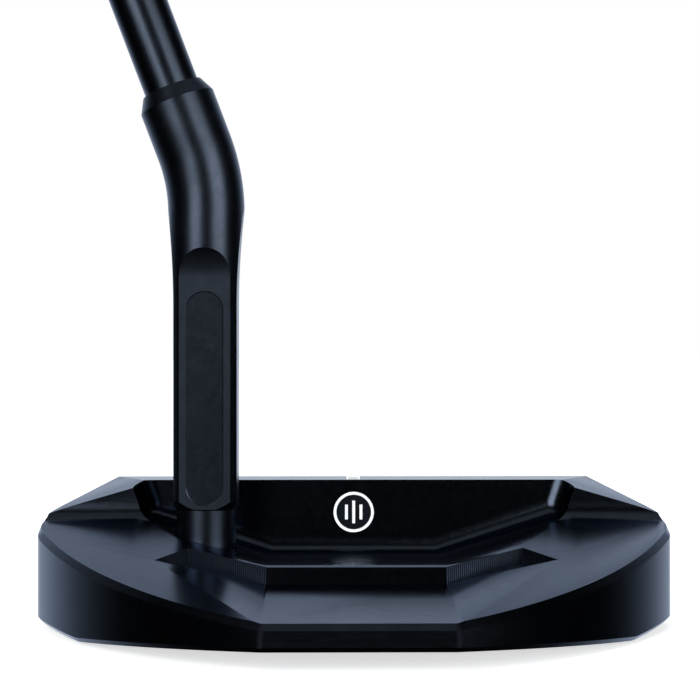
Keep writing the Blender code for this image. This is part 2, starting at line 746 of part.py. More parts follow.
def make_neck(surface):
    neck = ring_solid("neck", neck_rings(), surface)
    x, y = neck_place()
    far = 14.0
    run_out = fade_arc(NECK_SIDE_TOP, NECK_SIDE_FADE, NECK_RADIUS - NECK_SIDE + 0.05)
    for side, name in ((-1, "neck_heel_side"), (1, "neck_toe_side")):
        path = [(NECK_FOOT_TOP - 3.0, 0.0)] + run_out
        corners = [(x + side * (NECK_SIDE + out), z) for z, out in path]
        corners += [(x + side * far, NECK_SIDE_FADE), (x + side * far, NECK_FOOT_TOP - 3.0)]
        rings = [[Vector((px, y + depth, z)) for px, z in corners] for depth in (-far, far)]
        cut(neck, ring_solid(name, rings))
    rear = fade_arc(NECK_FLAT_TOP, NECK_FLAT_FADE, NECK_RADIUS - NECK_FLAT + 0.05)
    path = [(NECK_FOOT_TOP + 0.2, 0.0)] + rear
    corners = [(y - NECK_FLAT - out, z) for z, out in path]
    corners += [(y - far, NECK_FLAT_FADE), (y - far, NECK_FOOT_TOP + 0.2)]
    rings = [[Vector((x + side * far, py, z)) for py, z in corners] for side in (-1, 1)]
    cut(neck, ring_solid("neck_rear_flat", rings))
    bore = [shaft_ring(place, BORE_RADIUS, FINE_SIDES) for place in (BORE_END, COLLAR_END + 5.0)]
    cut(neck, ring_solid("shaft_bore", bore))
    holes = bmesh.new()
    screw = [(NECK_SCREW_SHANK + GAP, 8.0), (NECK_SCREW_SHANK + GAP, NECK_SCREW_TOP + GAP)]
    add_rings(holes, turned_rings(screw, PLAIN_SIDES, neck_place()))
    dowel = [(DOWEL_RADIUS + GAP, 8.0), (DOWEL_RADIUS + GAP, DOWEL_TOP + GAP)]
    add_rings(holes, turned_rings(dowel, SMALL_SIDES, dowel_place()))
    cut(neck, new_object("neck_holes", holes))
    return neck


def make_neck_screw(surface):
    top = NECK_SCREW_SEAT - GAP
    profile = [
        (1.5, top - NECK_SCREW_HEAD_HEIGHT + 2.0),
        (1.7, top - NECK_SCREW_HEAD_HEIGHT),
        (NECK_SCREW_HEAD, top - NECK_SCREW_HEAD_HEIGHT),
        (NECK_SCREW_HEAD, top),
        (NECK_SCREW_SHANK, top),
        (NECK_SCREW_SHANK, NECK_SCREW_TOP - 0.5),
        (NECK_SCREW_SHANK - 0.5, NECK_SCREW_TOP),
    ]
    return ring_solid("neck_screw", turned_rings(profile, PLAIN_SIDES, neck_place()), surface)


def make_neck_dowel(surface):
    profile = [
        (DOWEL_RADIUS - 0.2, DOWEL_BOTTOM),
        (DOWEL_RADIUS, DOWEL_BOTTOM + 0.2),
        (DOWEL_RADIUS, DOWEL_TOP - 0.2),
        (DOWEL_RADIUS - 0.2, DOWEL_TOP),
    ]
    return ring_solid("neck_dowel", turned_rings(profile, SMALL_SIDES, dowel_place()), surface)


# Shaft and grip


def shaft_radius(distance):
    """Outer radius: a parallel tip, an even taper, then a parallel butt."""
    share = (distance - SHAFT_TAPER_START) / (SHAFT_TAPER_END - SHAFT_TAPER_START)
    share = min(max(share, 0.0), 1.0)
    return SHAFT_TIP_RADIUS + (SHAFT_BUTT_RADIUS - SHAFT_TIP_RADIUS) * share


def make_shaft(surface):
    places = [SHAFT_START, SHAFT_TAPER_START, 240.0, 400.0, SHAFT_TAPER_END, SHAFT_END]
    outer = [shaft_ring(place, shaft_radius(place), FINE_SIDES) for place in places]
    inner = [shaft_ring(place, shaft_radius(place) - SHAFT_WALL, FINE_SIDES) for place in places]
    return hollow_solid("shaft", outer, inner, surface)


def make_tip_plug(surface):
    radius = SHAFT_TIP_RADIUS - SHAFT_WALL - GAP
    start = SHAFT_START + 0.5
    rings = [
        shaft_ring(start, radius, PLAIN_SIDES),
        shaft_ring(start + PLUG_LENGTH - 1.0, radius, PLAIN_SIDES),
        shaft_ring(start + PLUG_LENGTH, radius - 1.0, PLAIN_SIDES),
    ]
    return ring_solid("shaft_tip_plug", rings, surface)


def sleeve(name, start, end, clearance, thickness, sides, surface):
    """A layer that follows the shaft's outside."""
    places = [start, SHAFT_TAPER_END, end]
    inner = [shaft_ring(place, shaft_radius(place) + clearance, sides) for place in places]
    outer = [shaft_ring(place, shaft_radius(place) + clearance + thickness, sides) for place in places]
    return hollow_solid(name, outer, inner, surface)


def grip_ring(distance):
    """The grip's section: a flat front that faces +X, round behind, fuller near the butt."""
    share = (distance - GRIP_START) / (GRIP_END - GRIP_START)
    swell = math.exp(-(((share - GRIP_SWELL_PLACE) / GRIP_SWELL_REACH) ** 2))
    half_width = GRIP_HALF_WIDTH + GRIP_TAPER[0] * share + GRIP_SWELL[0] * swell
    back = GRIP_BACK + GRIP_TAPER[1] * share + GRIP_SWELL[1] * swell
    front = GRIP_FRONT + GRIP_TAPER[2] * share
    across = Vector((math.cos(SHAFT_ANGLE), 0.0, math.sin(SHAFT_ANGLE)))
    middle = shaft_point(distance)
    ring = []
    for index in range(FINE_SIDES):
        angle = 2 * math.pi * index / FINE_SIDES
        reach = front if math.cos(angle) > 0 else back
        power = 0.5 if math.cos(angle) > 0 else 0.9
        along = reach * math.copysign(abs(math.cos(angle)) ** power, math.cos(angle))
        wide = half_width * math.copysign(abs(math.sin(angle)) ** 0.85, math.sin(angle))
        ring.append(middle + across * along + Vector((0.0, wide, 0.0)))
    return ring


def make_grip_skin(surface):
    clearance = 3 * GAP + TAPE_THICKNESS + CORE_THICKNESS
    length = GRIP_END - GRIP_START
    places = [GRIP_START + length * step / GRIP_STATIONS for step in range(GRIP_STATIONS + 1)]
    outer = [grip_ring(place) for place in places]
    inner = [shaft_ring(place, shaft_radius(place) + clearance, FINE_SIDES) for place in places]
    mouth = shaft_ring(GRIP_START, shaft_radius(GRIP_START) + clearance + 0.6, FINE_SIDES)
    return hollow_solid("grip_skin", [mouth_ring(mouth)] + outer, inner, surface)


def mouth_ring(ring):
    """The grip's lower end is turned in a little ahead of its first section."""
    return [point - shaft_direction() * GRIP_MOUTH for point in ring]


def make_grip_cap(surface):
    start = GRIP_END + GAP
    places = ((start, 0.0), (start + CAP_THICKNESS - 1.0, 0.0), (start + CAP_THICKNESS, 1.0))
    outer = [grip_ring_at_butt(place, inset) for place, inset in places]
    inner = [shaft_ring(place, CAP_VENT_RADIUS, FINE_SIDES) for place, _ in places]
    return hollow_solid("grip_cap", outer, inner, surface)


def grip_ring_at_butt(distance, inset):
    """The last grip section, moved to another place along the shaft and drawn in."""
    middle = shaft_point(GRIP_END)
    target = shaft_point(distance)
    scale = 1.0 - inset / 12.0
    return [target + (point - middle) * scale for point in grip_ring(GRIP_END)]


# Marks


def make_alignment_fill(surface):
    half = ALIGNMENT_WIDTH / 2
    top = TOPLINE_HEIGHT - 0.05
    lean = (TOPLINE_HEIGHT - top) * math.tan(LOFT_ANGLE)
    corners = [(0.25 + lean, top - ALIGNMENT_DEPTH), (0.25, top), (ALIGNMENT_END, top)]
    corners.append((ALIGNMENT_END, top - ALIGNMENT_DEPTH))
    rings = [[head_point(x, depth, z) for depth, z in corners] for x in (-half, half)]
    return ring_solid("alignment_fill", rings, surface)


def make_badge(surface):
    """A disc that carries a plain raised ring round three sight bars."""
    front = TOPLINE_DEPTH - 0.05
    back = TOPLINE_DEPTH - BADGE_SINK
    face = back + BADGE_PLATE
    outer = circle(BADGE_RADIUS, FINE_SIDES, (0.0, BADGE_HEIGHT))
    inner = circle(BADGE_RADIUS - BADGE_LINE, FINE_SIDES, (0.0, BADGE_HEIGHT))
    plate = [[head_point(x, depth, z) for x, z in outer] for depth in (back, front)]
    badge = ring_solid("badge_fill", plate, surface)
    hollow = [[head_point(x, depth, z) for x, z in inner] for depth in (face, BADGE_CUT_END)]
    cut(badge, ring_solid("badge_field", hollow))
    bars = bmesh.new()
    for number, length in enumerate(BADGE_BAR_LENGTHS):
        x = (number - 1) * BADGE_BAR_PITCH
        half = BADGE_LINE / 2
        low = BADGE_HEIGHT - length / 2
        high = BADGE_HEIGHT + length / 2
        corners = [(x - half, low), (x + half, low), (x + half, high), (x - half, high)]
        add_rings(bars, [[head_point(px, depth, z) for px, z in corners] for depth in (back + 0.1, front)])
    join(badge, new_object("badge_bars", bars))
    return badge


def main():
    clear_scene()
    black = (0.012, 0.014, 0.018)
    anodised = material("head_black_anodised", black, 0.42, 0.9)
    neck_black = material("neck_black_plated", black, 0.45, 0.9)
    shaft_black = material("shaft_black_satin", (0.015, 0.015, 0.017), 0.3, 0.9)
    steel = material("sole_plate_steel", (0.30, 0.31, 0.33), 0.35, 1.0)
    weight_steel = material("weight_steel", (0.35, 0.36, 0.38), 0.3, 1.0)
    fastener = material("fastener_steel", (0.05, 0.05, 0.055), 0.4, 1.0)
    nylon = material("washer_nylon", (0.03, 0.03, 0.03), 0.6, 0.0)
    cork = material("plug_plastic", (0.55, 0.5, 0.4), 0.7, 0.0)
    tape = material("grip_tape_paper", (0.75, 0.72, 0.62), 0.8, 0.0)
    foam = material("grip_foam", (0.04, 0.04, 0.045), 0.9, 0.0)
    rubber = material("grip_polyurethane", (0.02, 0.02, 0.022), 0.6, 0.0)
    cap = material("grip_cap_rubber", (0.018, 0.018, 0.018), 0.55, 0.0)
    white = material("white_fill", (0.85, 0.86, 0.88), 0.5, 0.0)
    make_head(anodised)
    make_sole_plate(steel)
    make_plate_screws(fastener)
    make_weight("sole_weight_heel", -1, weight_steel)
    make_weight("sole_weight_toe", 1, weight_steel)
    make_washer("weight_washer_heel", -1, nylon)
    make_washer("weight_washer_toe", 1, nylon)
    make_neck(neck_black)
    make_neck_screw(fastener)
    make_neck_dowel(fastener)
    make_shaft(shaft_black)
    make_tip_plug(cork)
    sleeve("grip_tape", GRIP_START + 2.0, GRIP_END - 6.0, GAP, TAPE_THICKNESS, FINE_SIDES, tape)
    core_clearance = 2 * GAP + TAPE_THICKNESS
    sleeve("grip_core", GRIP_START + 2.0, GRIP_END - 6.0, core_clearance, CORE_THICKNESS, FINE_SIDES, foam)
    make_grip_skin(rubber)
    make_grip_cap(cap)
    make_alignment_fill(white)
    make_badge(white)


main()
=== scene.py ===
"""Looks of the mallet putter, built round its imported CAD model.

The head, the neck and the other visible pieces are made again by the rules of the design, with
finer steps, rounded edges and a finish for each kind of cut. Lengths are in millimetres until
settle() scales a piece to metres. "depth" is the distance behind the top edge of the face.
"""

import math

import bmesh
import bpy
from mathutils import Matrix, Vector


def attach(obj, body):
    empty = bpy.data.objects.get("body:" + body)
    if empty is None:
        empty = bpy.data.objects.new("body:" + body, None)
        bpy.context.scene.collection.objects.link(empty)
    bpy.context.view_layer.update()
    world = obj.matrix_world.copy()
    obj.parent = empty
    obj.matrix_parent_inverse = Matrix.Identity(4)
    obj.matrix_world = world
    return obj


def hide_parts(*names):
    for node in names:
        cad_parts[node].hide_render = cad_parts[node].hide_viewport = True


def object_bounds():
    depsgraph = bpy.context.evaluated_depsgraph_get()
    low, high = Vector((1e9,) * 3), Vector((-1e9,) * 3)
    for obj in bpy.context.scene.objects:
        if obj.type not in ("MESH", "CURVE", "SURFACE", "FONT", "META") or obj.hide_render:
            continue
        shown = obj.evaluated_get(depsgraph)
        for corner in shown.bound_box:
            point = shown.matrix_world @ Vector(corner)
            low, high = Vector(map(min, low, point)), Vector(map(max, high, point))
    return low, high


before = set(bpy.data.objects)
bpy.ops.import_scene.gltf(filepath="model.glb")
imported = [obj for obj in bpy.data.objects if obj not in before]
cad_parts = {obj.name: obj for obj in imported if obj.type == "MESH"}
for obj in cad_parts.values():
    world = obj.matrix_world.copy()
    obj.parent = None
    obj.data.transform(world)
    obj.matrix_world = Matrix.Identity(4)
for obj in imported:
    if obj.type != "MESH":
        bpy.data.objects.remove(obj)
cad_low, cad_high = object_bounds()

MM = 0.001
GAP = 0.3

# Head outline, seen from above
FACE_TOP_Y = 27.0
FACE_HALF_WIDTH = 42.6
HEAD_DEPTH = 65.5
REAR_HALF_WIDTH = 14.6
REAR_CORNER_RADIUS = 2.4
CORNER_CUT_END = (53.0, 12.1)
CORNER_RADIUS = 12.0
SIDE_RADIUS = 85.0
SIDE_CENTRE = (-24.6, -9.93)
LOFT_ANGLE = math.radians(3.0)
FACE_OVERRUN = 2.7

# How far the cutting shapes reach past the head: sideways, upwards and highest of all
REACH = 70.0
SKY = 32.0
HIGH_SKY = 40.0

# Head heights
TOPLINE_HEIGHT = 24.4
TOPLINE_DEPTH = 9.0
SHOULDER_DEPTH = 13.0
SHOULDER_RADIUS = 3.5
FACET_INNER_X = 28.0
FACET_CUT_DEPTHS = (-12.0, 20.0)
FACET_START = 43.25
FACET_SLOPE_X = 0.291
FACET_SLOPE_DEPTH = 0.181
FLANGE_REAR_HEIGHT = 7.3
FLANGE_SLOPE = math.tan(math.radians(11.7))
EDGE_CHAMFER = 0.9
CHAMFER_START = 15.0
CHAMFER_FULL = 23.0

# Pocket behind the face
POCKET_HALF_FLOOR = 14.8
POCKET_FLOOR = 11.45
POCKET_FLOOR_RISE = 0.043
WING_SLOPE = 0.326
WING_SLOPE_LOSS = 0.0062
POCKET_SIDE_FOOT = (37.2, 18.0)
POCKET_SIDE_RIM = (38.8, 22.7)
POCKET_CORNER_RADIUS = 3.0
POCKET_FILLET = 2.8
POCKET_END_RADIUS = 4.0
POCKET_END_DEPTH = 45.0

# Stepped ramp behind the pocket, with the ripple that the side mill leaves on its wings
STEP_DEPTH = 40.0
STEP_HALF_WIDTH = 14.4
STEP_FOOT = 9.8
STEP_PEAK = (27.9, 30.3, 11.8)
STEP_TIP = (33.0, 36.4, 13.33)
RAMP_REAR_LIFT = 0.02
RAMP_OVERRUN = 4.0
RIPPLE_PITCH = 0.43
RIPPLE_DEPTH = 0.05
RIPPLE_POINTS = 3

# Sole
SOLE_FRONT_DEPTH = 6.0
SOLE_REAR_DEPTH = 35.0
SOLE_REAR_RISE = 3.2
SOLE_FRONT_RISE = 1.1
SOLE_SIDE_START = 42.5
SOLE_SIDE_SLOPE = 0.10
SOLE_CHAMFER = 0.7
PLATE_HALF_LENGTH = 34.0
PLATE_HALF_WIDTH = 13.0
PLATE_CENTRE_Y = 6.5
PLATE_THICKNESS = 3.0
PLATE_CORNER = 5.0
PLATE_SCREW_X = 30.0
PLATE_SCREW_Y = 9.0
PLATE_SCREW_HEAD = 2.3
PLATE_SCREW_SHANK = 1.2
PLATE_SCREW_LENGTH = 8.0
PLATE_SCREW_SINK = 0.25
PLATE_SCREW_POINT = (0.3, 0.6)
THREAD_PITCH = 0.45
THREAD_DEPTH = 0.25
SCREW_SOCKET_RADIUS = 0.85
SCREW_SOCKET_DEPTH = 1.0
WEIGHT_X = 43.0
WEIGHT_Y = 9.0
WEIGHT_RADIUS = 7.0
WEIGHT_BOTTOM = 0.9
WEIGHT_TOP = 7.4
WEIGHT_LOW_EDGE = 0.5
WEIGHT_TOP_EDGE = 0.4
WEIGHT_SOCKET_RADIUS = 2.3
WEIGHT_SOCKET_DEPTH = 3.0
WASHER_THICKNESS = 0.8
GROOVE_RADII = (3.9, 4.7, 5.5)
GROOVE_SIZE = 0.12

# Neck
NECK_X = -25.55
NECK_DEPTH = 20.0
NECK_SEAT = 12.9
NECK_RADIUS = 6.58
NECK_FOOT_RADIUS = 5.1
NECK_FOOT_TOP = 20.3
NECK_SIDE = 5.4
NECK_SIDE_TOP = 55.0
NECK_SIDE_FADE = 72.5
NECK_SIDE_LOW = NECK_FOOT_TOP - 3.0
NECK_FLAT = 4.95
NECK_FLAT_TOP = 60.0
NECK_FLAT_FADE = 65.0
NECK_FLAT_LOW = NECK_FOOT_TOP + 0.2
NECK_CUT_REACH = 14.0
NECK_MIDDLE = 45.0
RUN_OUT_OVERLAP = 0.05
BEND_HEIGHT = 77.05
BEND_RADIUS = 32.0
SHAFT_ANGLE = math.radians(20.9)
COLLAR_END = 16.6
COLLAR_CHAMFER = 2.5
COLLAR_LIP_RADIUS = 5.3
BORE_RADIUS = 5.05
BORE_END = -0.5
NECK_SCREW_SHANK = 2.0
NECK_SCREW_HEAD = 3.5
NECK_SCREW_TOP = 24.0
NECK_SCREW_SEAT = 8.4
DOWEL_RADIUS = 0.75
DOWEL_OFFSET = 3.55
DOWEL_BOTTOM = 9.4
DOWEL_TOP = 17.0
NECK_HOLES_START = 8.0
PILL_HALF_WIDTH = 3.2
PILL_LOW = 21.1
PILL_HIGH = 57.6
PILL_SINK = 0.12
PILL_EDGE = 0.16

# Shaft and grip, as distances along the shaft from the corner of the neck's bend
SHAFT_TIP_RADIUS = 4.75
SHAFT_WALL = 0.9
SHAFT_TAPER_START = 90.0
SHAFT_TAPER_END = 560.0
SHAFT_TAPER_STEPS = 10
SHAFT_BUTT_RADIUS = 7.4
SHAFT_END = 774.0
GRIP_START = 514.0
GRIP_END = 778.0
GRIP_CLEARANCE = 2.9
CAP_THICKNESS = 3.5
CAP_DISH_DEPTH = 0.4
CAP_VENT_RADIUS = 1.2
GRIP_HALF_WIDTH = 10.6
GRIP_BACK = 10.4
GRIP_FRONT = 10.2
GRIP_FRONT_POWER = 0.5
GRIP_BACK_POWER = 0.9
GRIP_SIDE_POWER = 0.85
GRIP_TAPER = (2.4, 2.0, 1.0)
GRIP_SWELL_PLACE = 0.82
GRIP_SWELL_REACH = 0.2
GRIP_SWELL = (1.0, 2.8)
GRIP_MOUTH = 1.2
GRIP_MOUTH_WALL = 0.6
GRIP_SIDES = 168
GRIP_ROWS = 470
GRIP_PLAIN_BAND = 9.0
DIMPLE_PITCH = 4.4
DIMPLE_RADIUS = 1.55
DIMPLE_DEPTH = 0.32

# Marks
ALIGNMENT_WIDTH = 1.8
ALIGNMENT_DEPTH = 0.6
ALIGNMENT_END = 7.6
BADGE_HEIGHT = 18.6
BADGE_RADIUS = 3.6
BADGE_LINE = 0.48
BADGE_BAR_LENGTHS = (2.6, 4.0, 2.6)
BADGE_BAR_PITCH = 1.3
BADGE_SINK = 0.5
BADGE_PLATE = 0.2
BADGE_RISE = 0.05
BADGE_BAR_FOOT = 0.1
BADGE_CUT_END = 14.0

# Studio light. Each glow: middle, half width and softness in azimuth, low edge and its softness,
# high edge and its softness in elevation, all in degrees, then strength. The open edges lie past
# the lowest and the highest point of the sky, so they cut nothing off.
OPEN_LOW = -200.0
OPEN_HIGH = 120.0
RIGHT_BOX = (42.0, 19.0, 6.0, 1.0, 4.0, 24.0, 18.0, 9.0)
LEFT_BOX = (-30.0, 15.0, 5.0, 0.5, 3.5, 40.0, 10.0, 9.5)
BACK_SHEET = (-5.0, 54.0, 22.0, -38.0, 10.0, 45.0, 40.0, 1.15)
TOP_SHEET = (0.0, 180.0, 1.0, 64.0, 14.0, OPEN_HIGH, 14.0, 0.75)
FRONT_GLOW = (0.0, 30.0, 15.0, OPEN_LOW, 1.0, -10.0, 1.5, 0.12)
ROOM_GLOW = 0.012
STUDIO_TINT = (0.94, 0.97, 1.0, 1.0)
FLOOR_GLOW = 0.62
FLOOR_RADIUS = 8.0
FLOOR_GAP = 0.0002
WHITE = (1.0, 1.0, 1.0, 1.0)

# Camera
CAMERA_PLACE = (-0.0046, -0.295, 0.0476)
CAMERA_TURN = math.radians(0.72)
CAMERA_LENS = 90.0
CAMERA_SENSOR = 36.0
CAMERA_NEAR = 0.01

# Fineness
ROUND_SIDES = 96
SMALL_SIDES = 48
HEXAGON = 6
EDGE_ROUNDING = 0.2
EDGE_ANGLE = math.radians(22.0)
SHARP_ANGLE = math.radians(32.0)
WELD_DISTANCE = 0.003

# Colours, with the darker and paler ones that mottle them. A pair is a colour and its darker one.
BLACK = (0.024, 0.029, 0.038)
BLACK_DARK = (0.019, 0.023, 0.031)
COOL_EDGE = (0.76, 0.84, 1.0, 1.0)
PLATE_STEEL = ((0.17, 0.175, 0.19), (0.12, 0.125, 0.135))
WEIGHT_STEEL = (0.42, 0.43, 0.45)
WEIGHT_STEEL_DARK = (0.34, 0.35, 0.37)
WEIGHT_STEEL_PALE = (0.46, 0.47, 0.49)
SCREW_BLACK = (0.045, 0.046, 0.05)
SCREW_BLACK_DARK = (0.03, 0.031, 0.035)
SCREW_BLACK_PALE = (0.06, 0.06, 0.063)
MARK_WHITE = ((0.86, 0.87, 0.88), (0.80, 0.81, 0.82))
GRIP_RUBBER = ((0.022, 0.022, 0.024), (0.016, 0.016, 0.018))
CAP_RUBBER = ((0.02, 0.02, 0.021), (0.014, 0.014, 0.015))
NYLON = ((0.035, 0.035, 0.036), (0.026, 0.026, 0.027))
PLUG_PLASTIC = ((0.62, 0.56, 0.45), (0.54, 0.48, 0.38))
TAPE_PAPER = ((0.78, 0.75, 0.66), (0.70, 0.66, 0.56))
CORE_FOAM = ((0.05, 0.05, 0.055), (0.03, 0.03, 0.034))


# Materials


def even(scale):
    """The same scale along each axis."""
    return (scale, scale, scale)


class NodeTree:
    """The nodes of a material or a world."""

    def __init__(self, owner):
        owner.use_nodes = True
        self.nodes = owner.node_tree.nodes
        self.links = owner.node_tree.links

    def fill(self, node, values):
        """Sets each socket of a node, or links it where the value is another node's output."""
        for socket, value in values.items():
            if isinstance(value, bpy.types.NodeSocket):
                self.links.new(value, node.inputs[socket])
            else:
                node.inputs[socket].default_value = value

    def add(self, kind, output, values, **settings):
        """Adds a node and gives the output with that name or number."""
        node = self.nodes.new(kind)
        for name, value in settings.items():
            setattr(node, name, value)
        self.fill(node, values)
        return node.outputs[output]


class Finish(NodeTree):
    """A material that is being made: its nodes, its shader and the last of its bumps."""

    def __init__(self, name, colour, roughness, metallic=0.0):
        self.material = bpy.data.materials.new(name)
        super().__init__(self.material)
        self.material.diffuse_color = (*colour, 1.0)
        self.shader = self.nodes["Principled BSDF"]
        self.set("Base Color", (*colour, 1.0))
        self.set("Roughness", roughness)
        self.set("Metallic", metallic)
        self.place = self.add("ShaderNodeTexCoord", "Object", {})
        self.last_bump = None

    def set(self, socket, value):
        self.fill(self.shader, {socket: value})

    def stretched(self, scale, turn=(0.0, 0.0, 0.0)):
        """The object's coordinates, in millimetres, stretched and turned."""
        scale = [factor / MM for factor in scale]
        values = {"Vector": self.place, "Scale": scale, "Rotation": turn}
        return self.add("ShaderNodeMapping", 0, values)

    def noise(self, scale, detail):
        """Noise with its own number of bumps per millimetre along each axis."""
        values = {"Vector": self.stretched(scale), "Scale": 1.0, "Detail": detail}
        return self.add("ShaderNodeTexNoise", "Fac", values)

    def waves(self, pitch, turn):
        """Straight waves along X, turned, with a pitch in millimetres."""
        values = {"Vector": self.stretched(even(1.0), turn), "Scale": math.pi / (10.0 * pitch)}
        return self.add("ShaderNodeTexWave", "Fac", values)

    def spread(self, value, low, high):
        """Spreads the middle part of a texture's values from low to high."""
        values = {"Value": value, "From Min": 0.3, "From Max": 0.7, "To Min": low, "To Max": high}
        return self.add("ShaderNodeMapRange", "Result", values)

    def roughen(self, value, low, high):
        """Roughness that follows a texture between two values."""
        self.set("Roughness", self.spread(value, low, high))

    def tint(self, value, first, second):
        """A colour that follows a texture between two colours."""
        values = {"Factor": self.spread(value, 0.0, 1.0), "A": (*first, 1.0), "B": (*second, 1.0)}
        self.set("Base Color", self.add("ShaderNodeMix", "Result", values, data_type="RGBA"))

    def bump(self, height, depth):
        """Adds a bump of that depth in millimetres on top of the ones before."""
        values = {"Height": height, "Distance": depth * MM, "Strength": 1.0}
        if self.last_bump:
            values["Normal"] = self.last_bump
        self.last_bump = self.add("ShaderNodeBump", "Normal", values)
        self.set("Normal", self.last_bump)


def black_metal(name, roughness):
    """Dark plated metal whose reflections turn a cool grey towards the edges."""
    finish = Finish(name, BLACK, roughness, 1.0)
    finish.set("Specular Tint", COOL_EDGE)
    finish.tint(finish.noise(even(0.35), 3.0), BLACK_DARK, BLACK)
    return finish


def cut_black(name, rough_low, rough_high, rough_noise, bump_noise, depth):
    """The black finish over one kind of cut: its two noises, and the depth of its bump."""
    finish = black_metal(name, (rough_low + rough_high) / 2)
    finish.roughen(finish.noise(*rough_noise), rough_low, rough_high)
    finish.bump(finish.noise(*bump_noise), depth)
    return finish.material


def satin_black():
    return cut_black("satin_black", 0.20, 0.26, ((0.5, 3.0, 3.0), 3.0), ((2.5, 9.0, 9.0), 2.0), 0.0012)


def blasted_black():
    return cut_black("blasted_black", 0.18, 0.22, (even(1.2), 2.0), (even(4.2), 3.0), 0.008)


def neck_black(name, rough_low, rough_high):
    return cut_black(name, rough_low, rough_high, (even(1.5), 2.0), (even(4.6), 3.0), 0.006)


def milled_black():
    return cut_black("milled_black", 0.27, 0.33, ((0.6, 0.6, 6.0), 2.0), ((3.0, 3.0, 14.0), 2.0), 0.002)


def face_black():
    """The striking face, milled in crossing arcs."""
    finish = black_metal("face_black", 0.38)
    finish.roughen(finish.noise(even(0.5), 2.0), 0.34, 0.42)
    for turn in (0.62, -0.62):
        finish.bump(finish.waves(0.55, (0.0, turn, 0.0)), 0.02)
    return finish.material


def shaft_black():
    finish = Finish("shaft_black", BLACK, 0.27, 1.0)
    finish.set("Specular Tint", COOL_EDGE)
    finish.tint(finish.noise((0.05, 0.05, 0.02), 2.0), BLACK_DARK, BLACK)
    finish.roughen(finish.noise((1.5, 1.5, 0.1), 3.0), 0.25, 0.30)
    finish.bump(finish.noise((5.0, 5.0, 0.4), 2.0), 0.0006)
    return finish.material


def brushed_steel():
    """Steel with a straight grain along X."""
    colour, darker = PLATE_STEEL
    finish = Finish("sole_plate_steel", colour, 0.34, 1.0)
    finish.tint(finish.noise((0.06, 4.0, 4.0), 3.0), darker, colour)
    finish.roughen(finish.noise((0.1, 9.0, 9.0), 3.0), 0.27, 0.42)
    finish.bump(finish.noise((0.12, 14.0, 14.0), 2.0), 0.004)
    return finish.material


def turned_steel():
    """Bright steel with a fine even grain. The grooves of the turned faces are real geometry."""
    finish = Finish("turned_steel", WEIGHT_STEEL, 0.28, 1.0)
    finish.tint(finish.noise(even(0.4), 2.0), WEIGHT_STEEL_DARK, WEIGHT_STEEL_PALE)
    finish.roughen(finish.noise((0.8, 0.8, 5.0), 2.0), 0.22, 0.34)
    finish.bump(finish.noise(even(6.0), 2.0), 0.002)
    return finish.material


def fastener_black():
    finish = Finish("fastener_black", SCREW_BLACK, 0.36, 1.0)
    finish.tint(finish.noise(even(0.8), 3.0), SCREW_BLACK_DARK, SCREW_BLACK_PALE)
    finish.roughen(finish.noise(even(2.0), 2.0), 0.30, 0.44)
    finish.bump(finish.noise(even(7.0), 2.0), 0.002)
    return finish.material


def moulded(name, colours, roughness, grain, depth):
    """Moulded plastic, rubber or foam: a mottled colour and a fine even grain."""
    colour, darker = colours
    finish = Finish(name, colour, roughness)
    finish.tint(finish.noise(even(0.25), 3.0), darker, colour)
    finish.roughen(finish.noise(even(grain), 2.0), roughness - 0.05, roughness + 0.05)
    finish.bump(finish.noise(even(grain), 3.0), depth)
    return finish.material


# Meshes


def head_point(x, depth, z):
    return Vector((x, FACE_TOP_Y - depth, z))


def new_object(name, bm, *surfaces):
    """Turns a closed bmesh into an object that is still in millimetres."""
    bmesh.ops.recalc_face_normals(bm, faces=bm.faces)
    mesh = bpy.data.meshes.new(name)
    bm.to_mesh(mesh)
    bm.free()
    for surface in surfaces:
        mesh.materials.append(surface)
    made = bpy.data.objects.new(name, mesh)
    bpy.context.scene.collection.objects.link(made)
    return made


def skin_rings(bm, rings, closed):
    """Skins a row of closed rings that have the same number of points, and gives their vertices."""
    rows = [[bm.verts.new(point) for point in ring] for ring in rings]
    count = len(rows[0])
    following = rows[1:] + rows[:1] if closed else rows[1:]
    for near, far in zip(rows, following):
        for index in range(count):
            after = (index + 1) % count
            bm.faces.new((near[index], near[after], far[after], far[index]))
    return rows


def add_rings(bm, rings):
    """Skins a row of rings and caps both ends."""
    rows = skin_rings(bm, rings, False)
    bm.faces.new(rows[0])
    bm.faces.new(list(reversed(rows[-1])))


def ring_solid(name, rings, surface):
    bm = bmesh.new()
    add_rings(bm, rings)
    return new_object(name, bm, surface)


def loop_solid(name, rings, surface):
    """Skins a row of rings whose last one joins the first."""
    bm = bmesh.new()
    skin_rings(bm, rings, True)
    return new_object(name, bm, surface)


def cut(target, cutter, operation="DIFFERENCE"):
    """Takes the cutter away from the target. The new surfaces keep the cutter's finish."""
    step = target.modifiers.new(cutter.name, "BOOLEAN")
    step.operation = operation
    step.solver = "EXACT"
    step.material_mode = "TRANSFER"
    step.object = cutter


def cut_together(target, name, solids, surface, operation="DIFFERENCE"):
    """Uses several solids as one cutter. Each is a row of rings."""
    bm = bmesh.new()
    for rings in solids:
        add_rings(bm, rings)
    cut(target, new_object(name, bm, surface), operation)


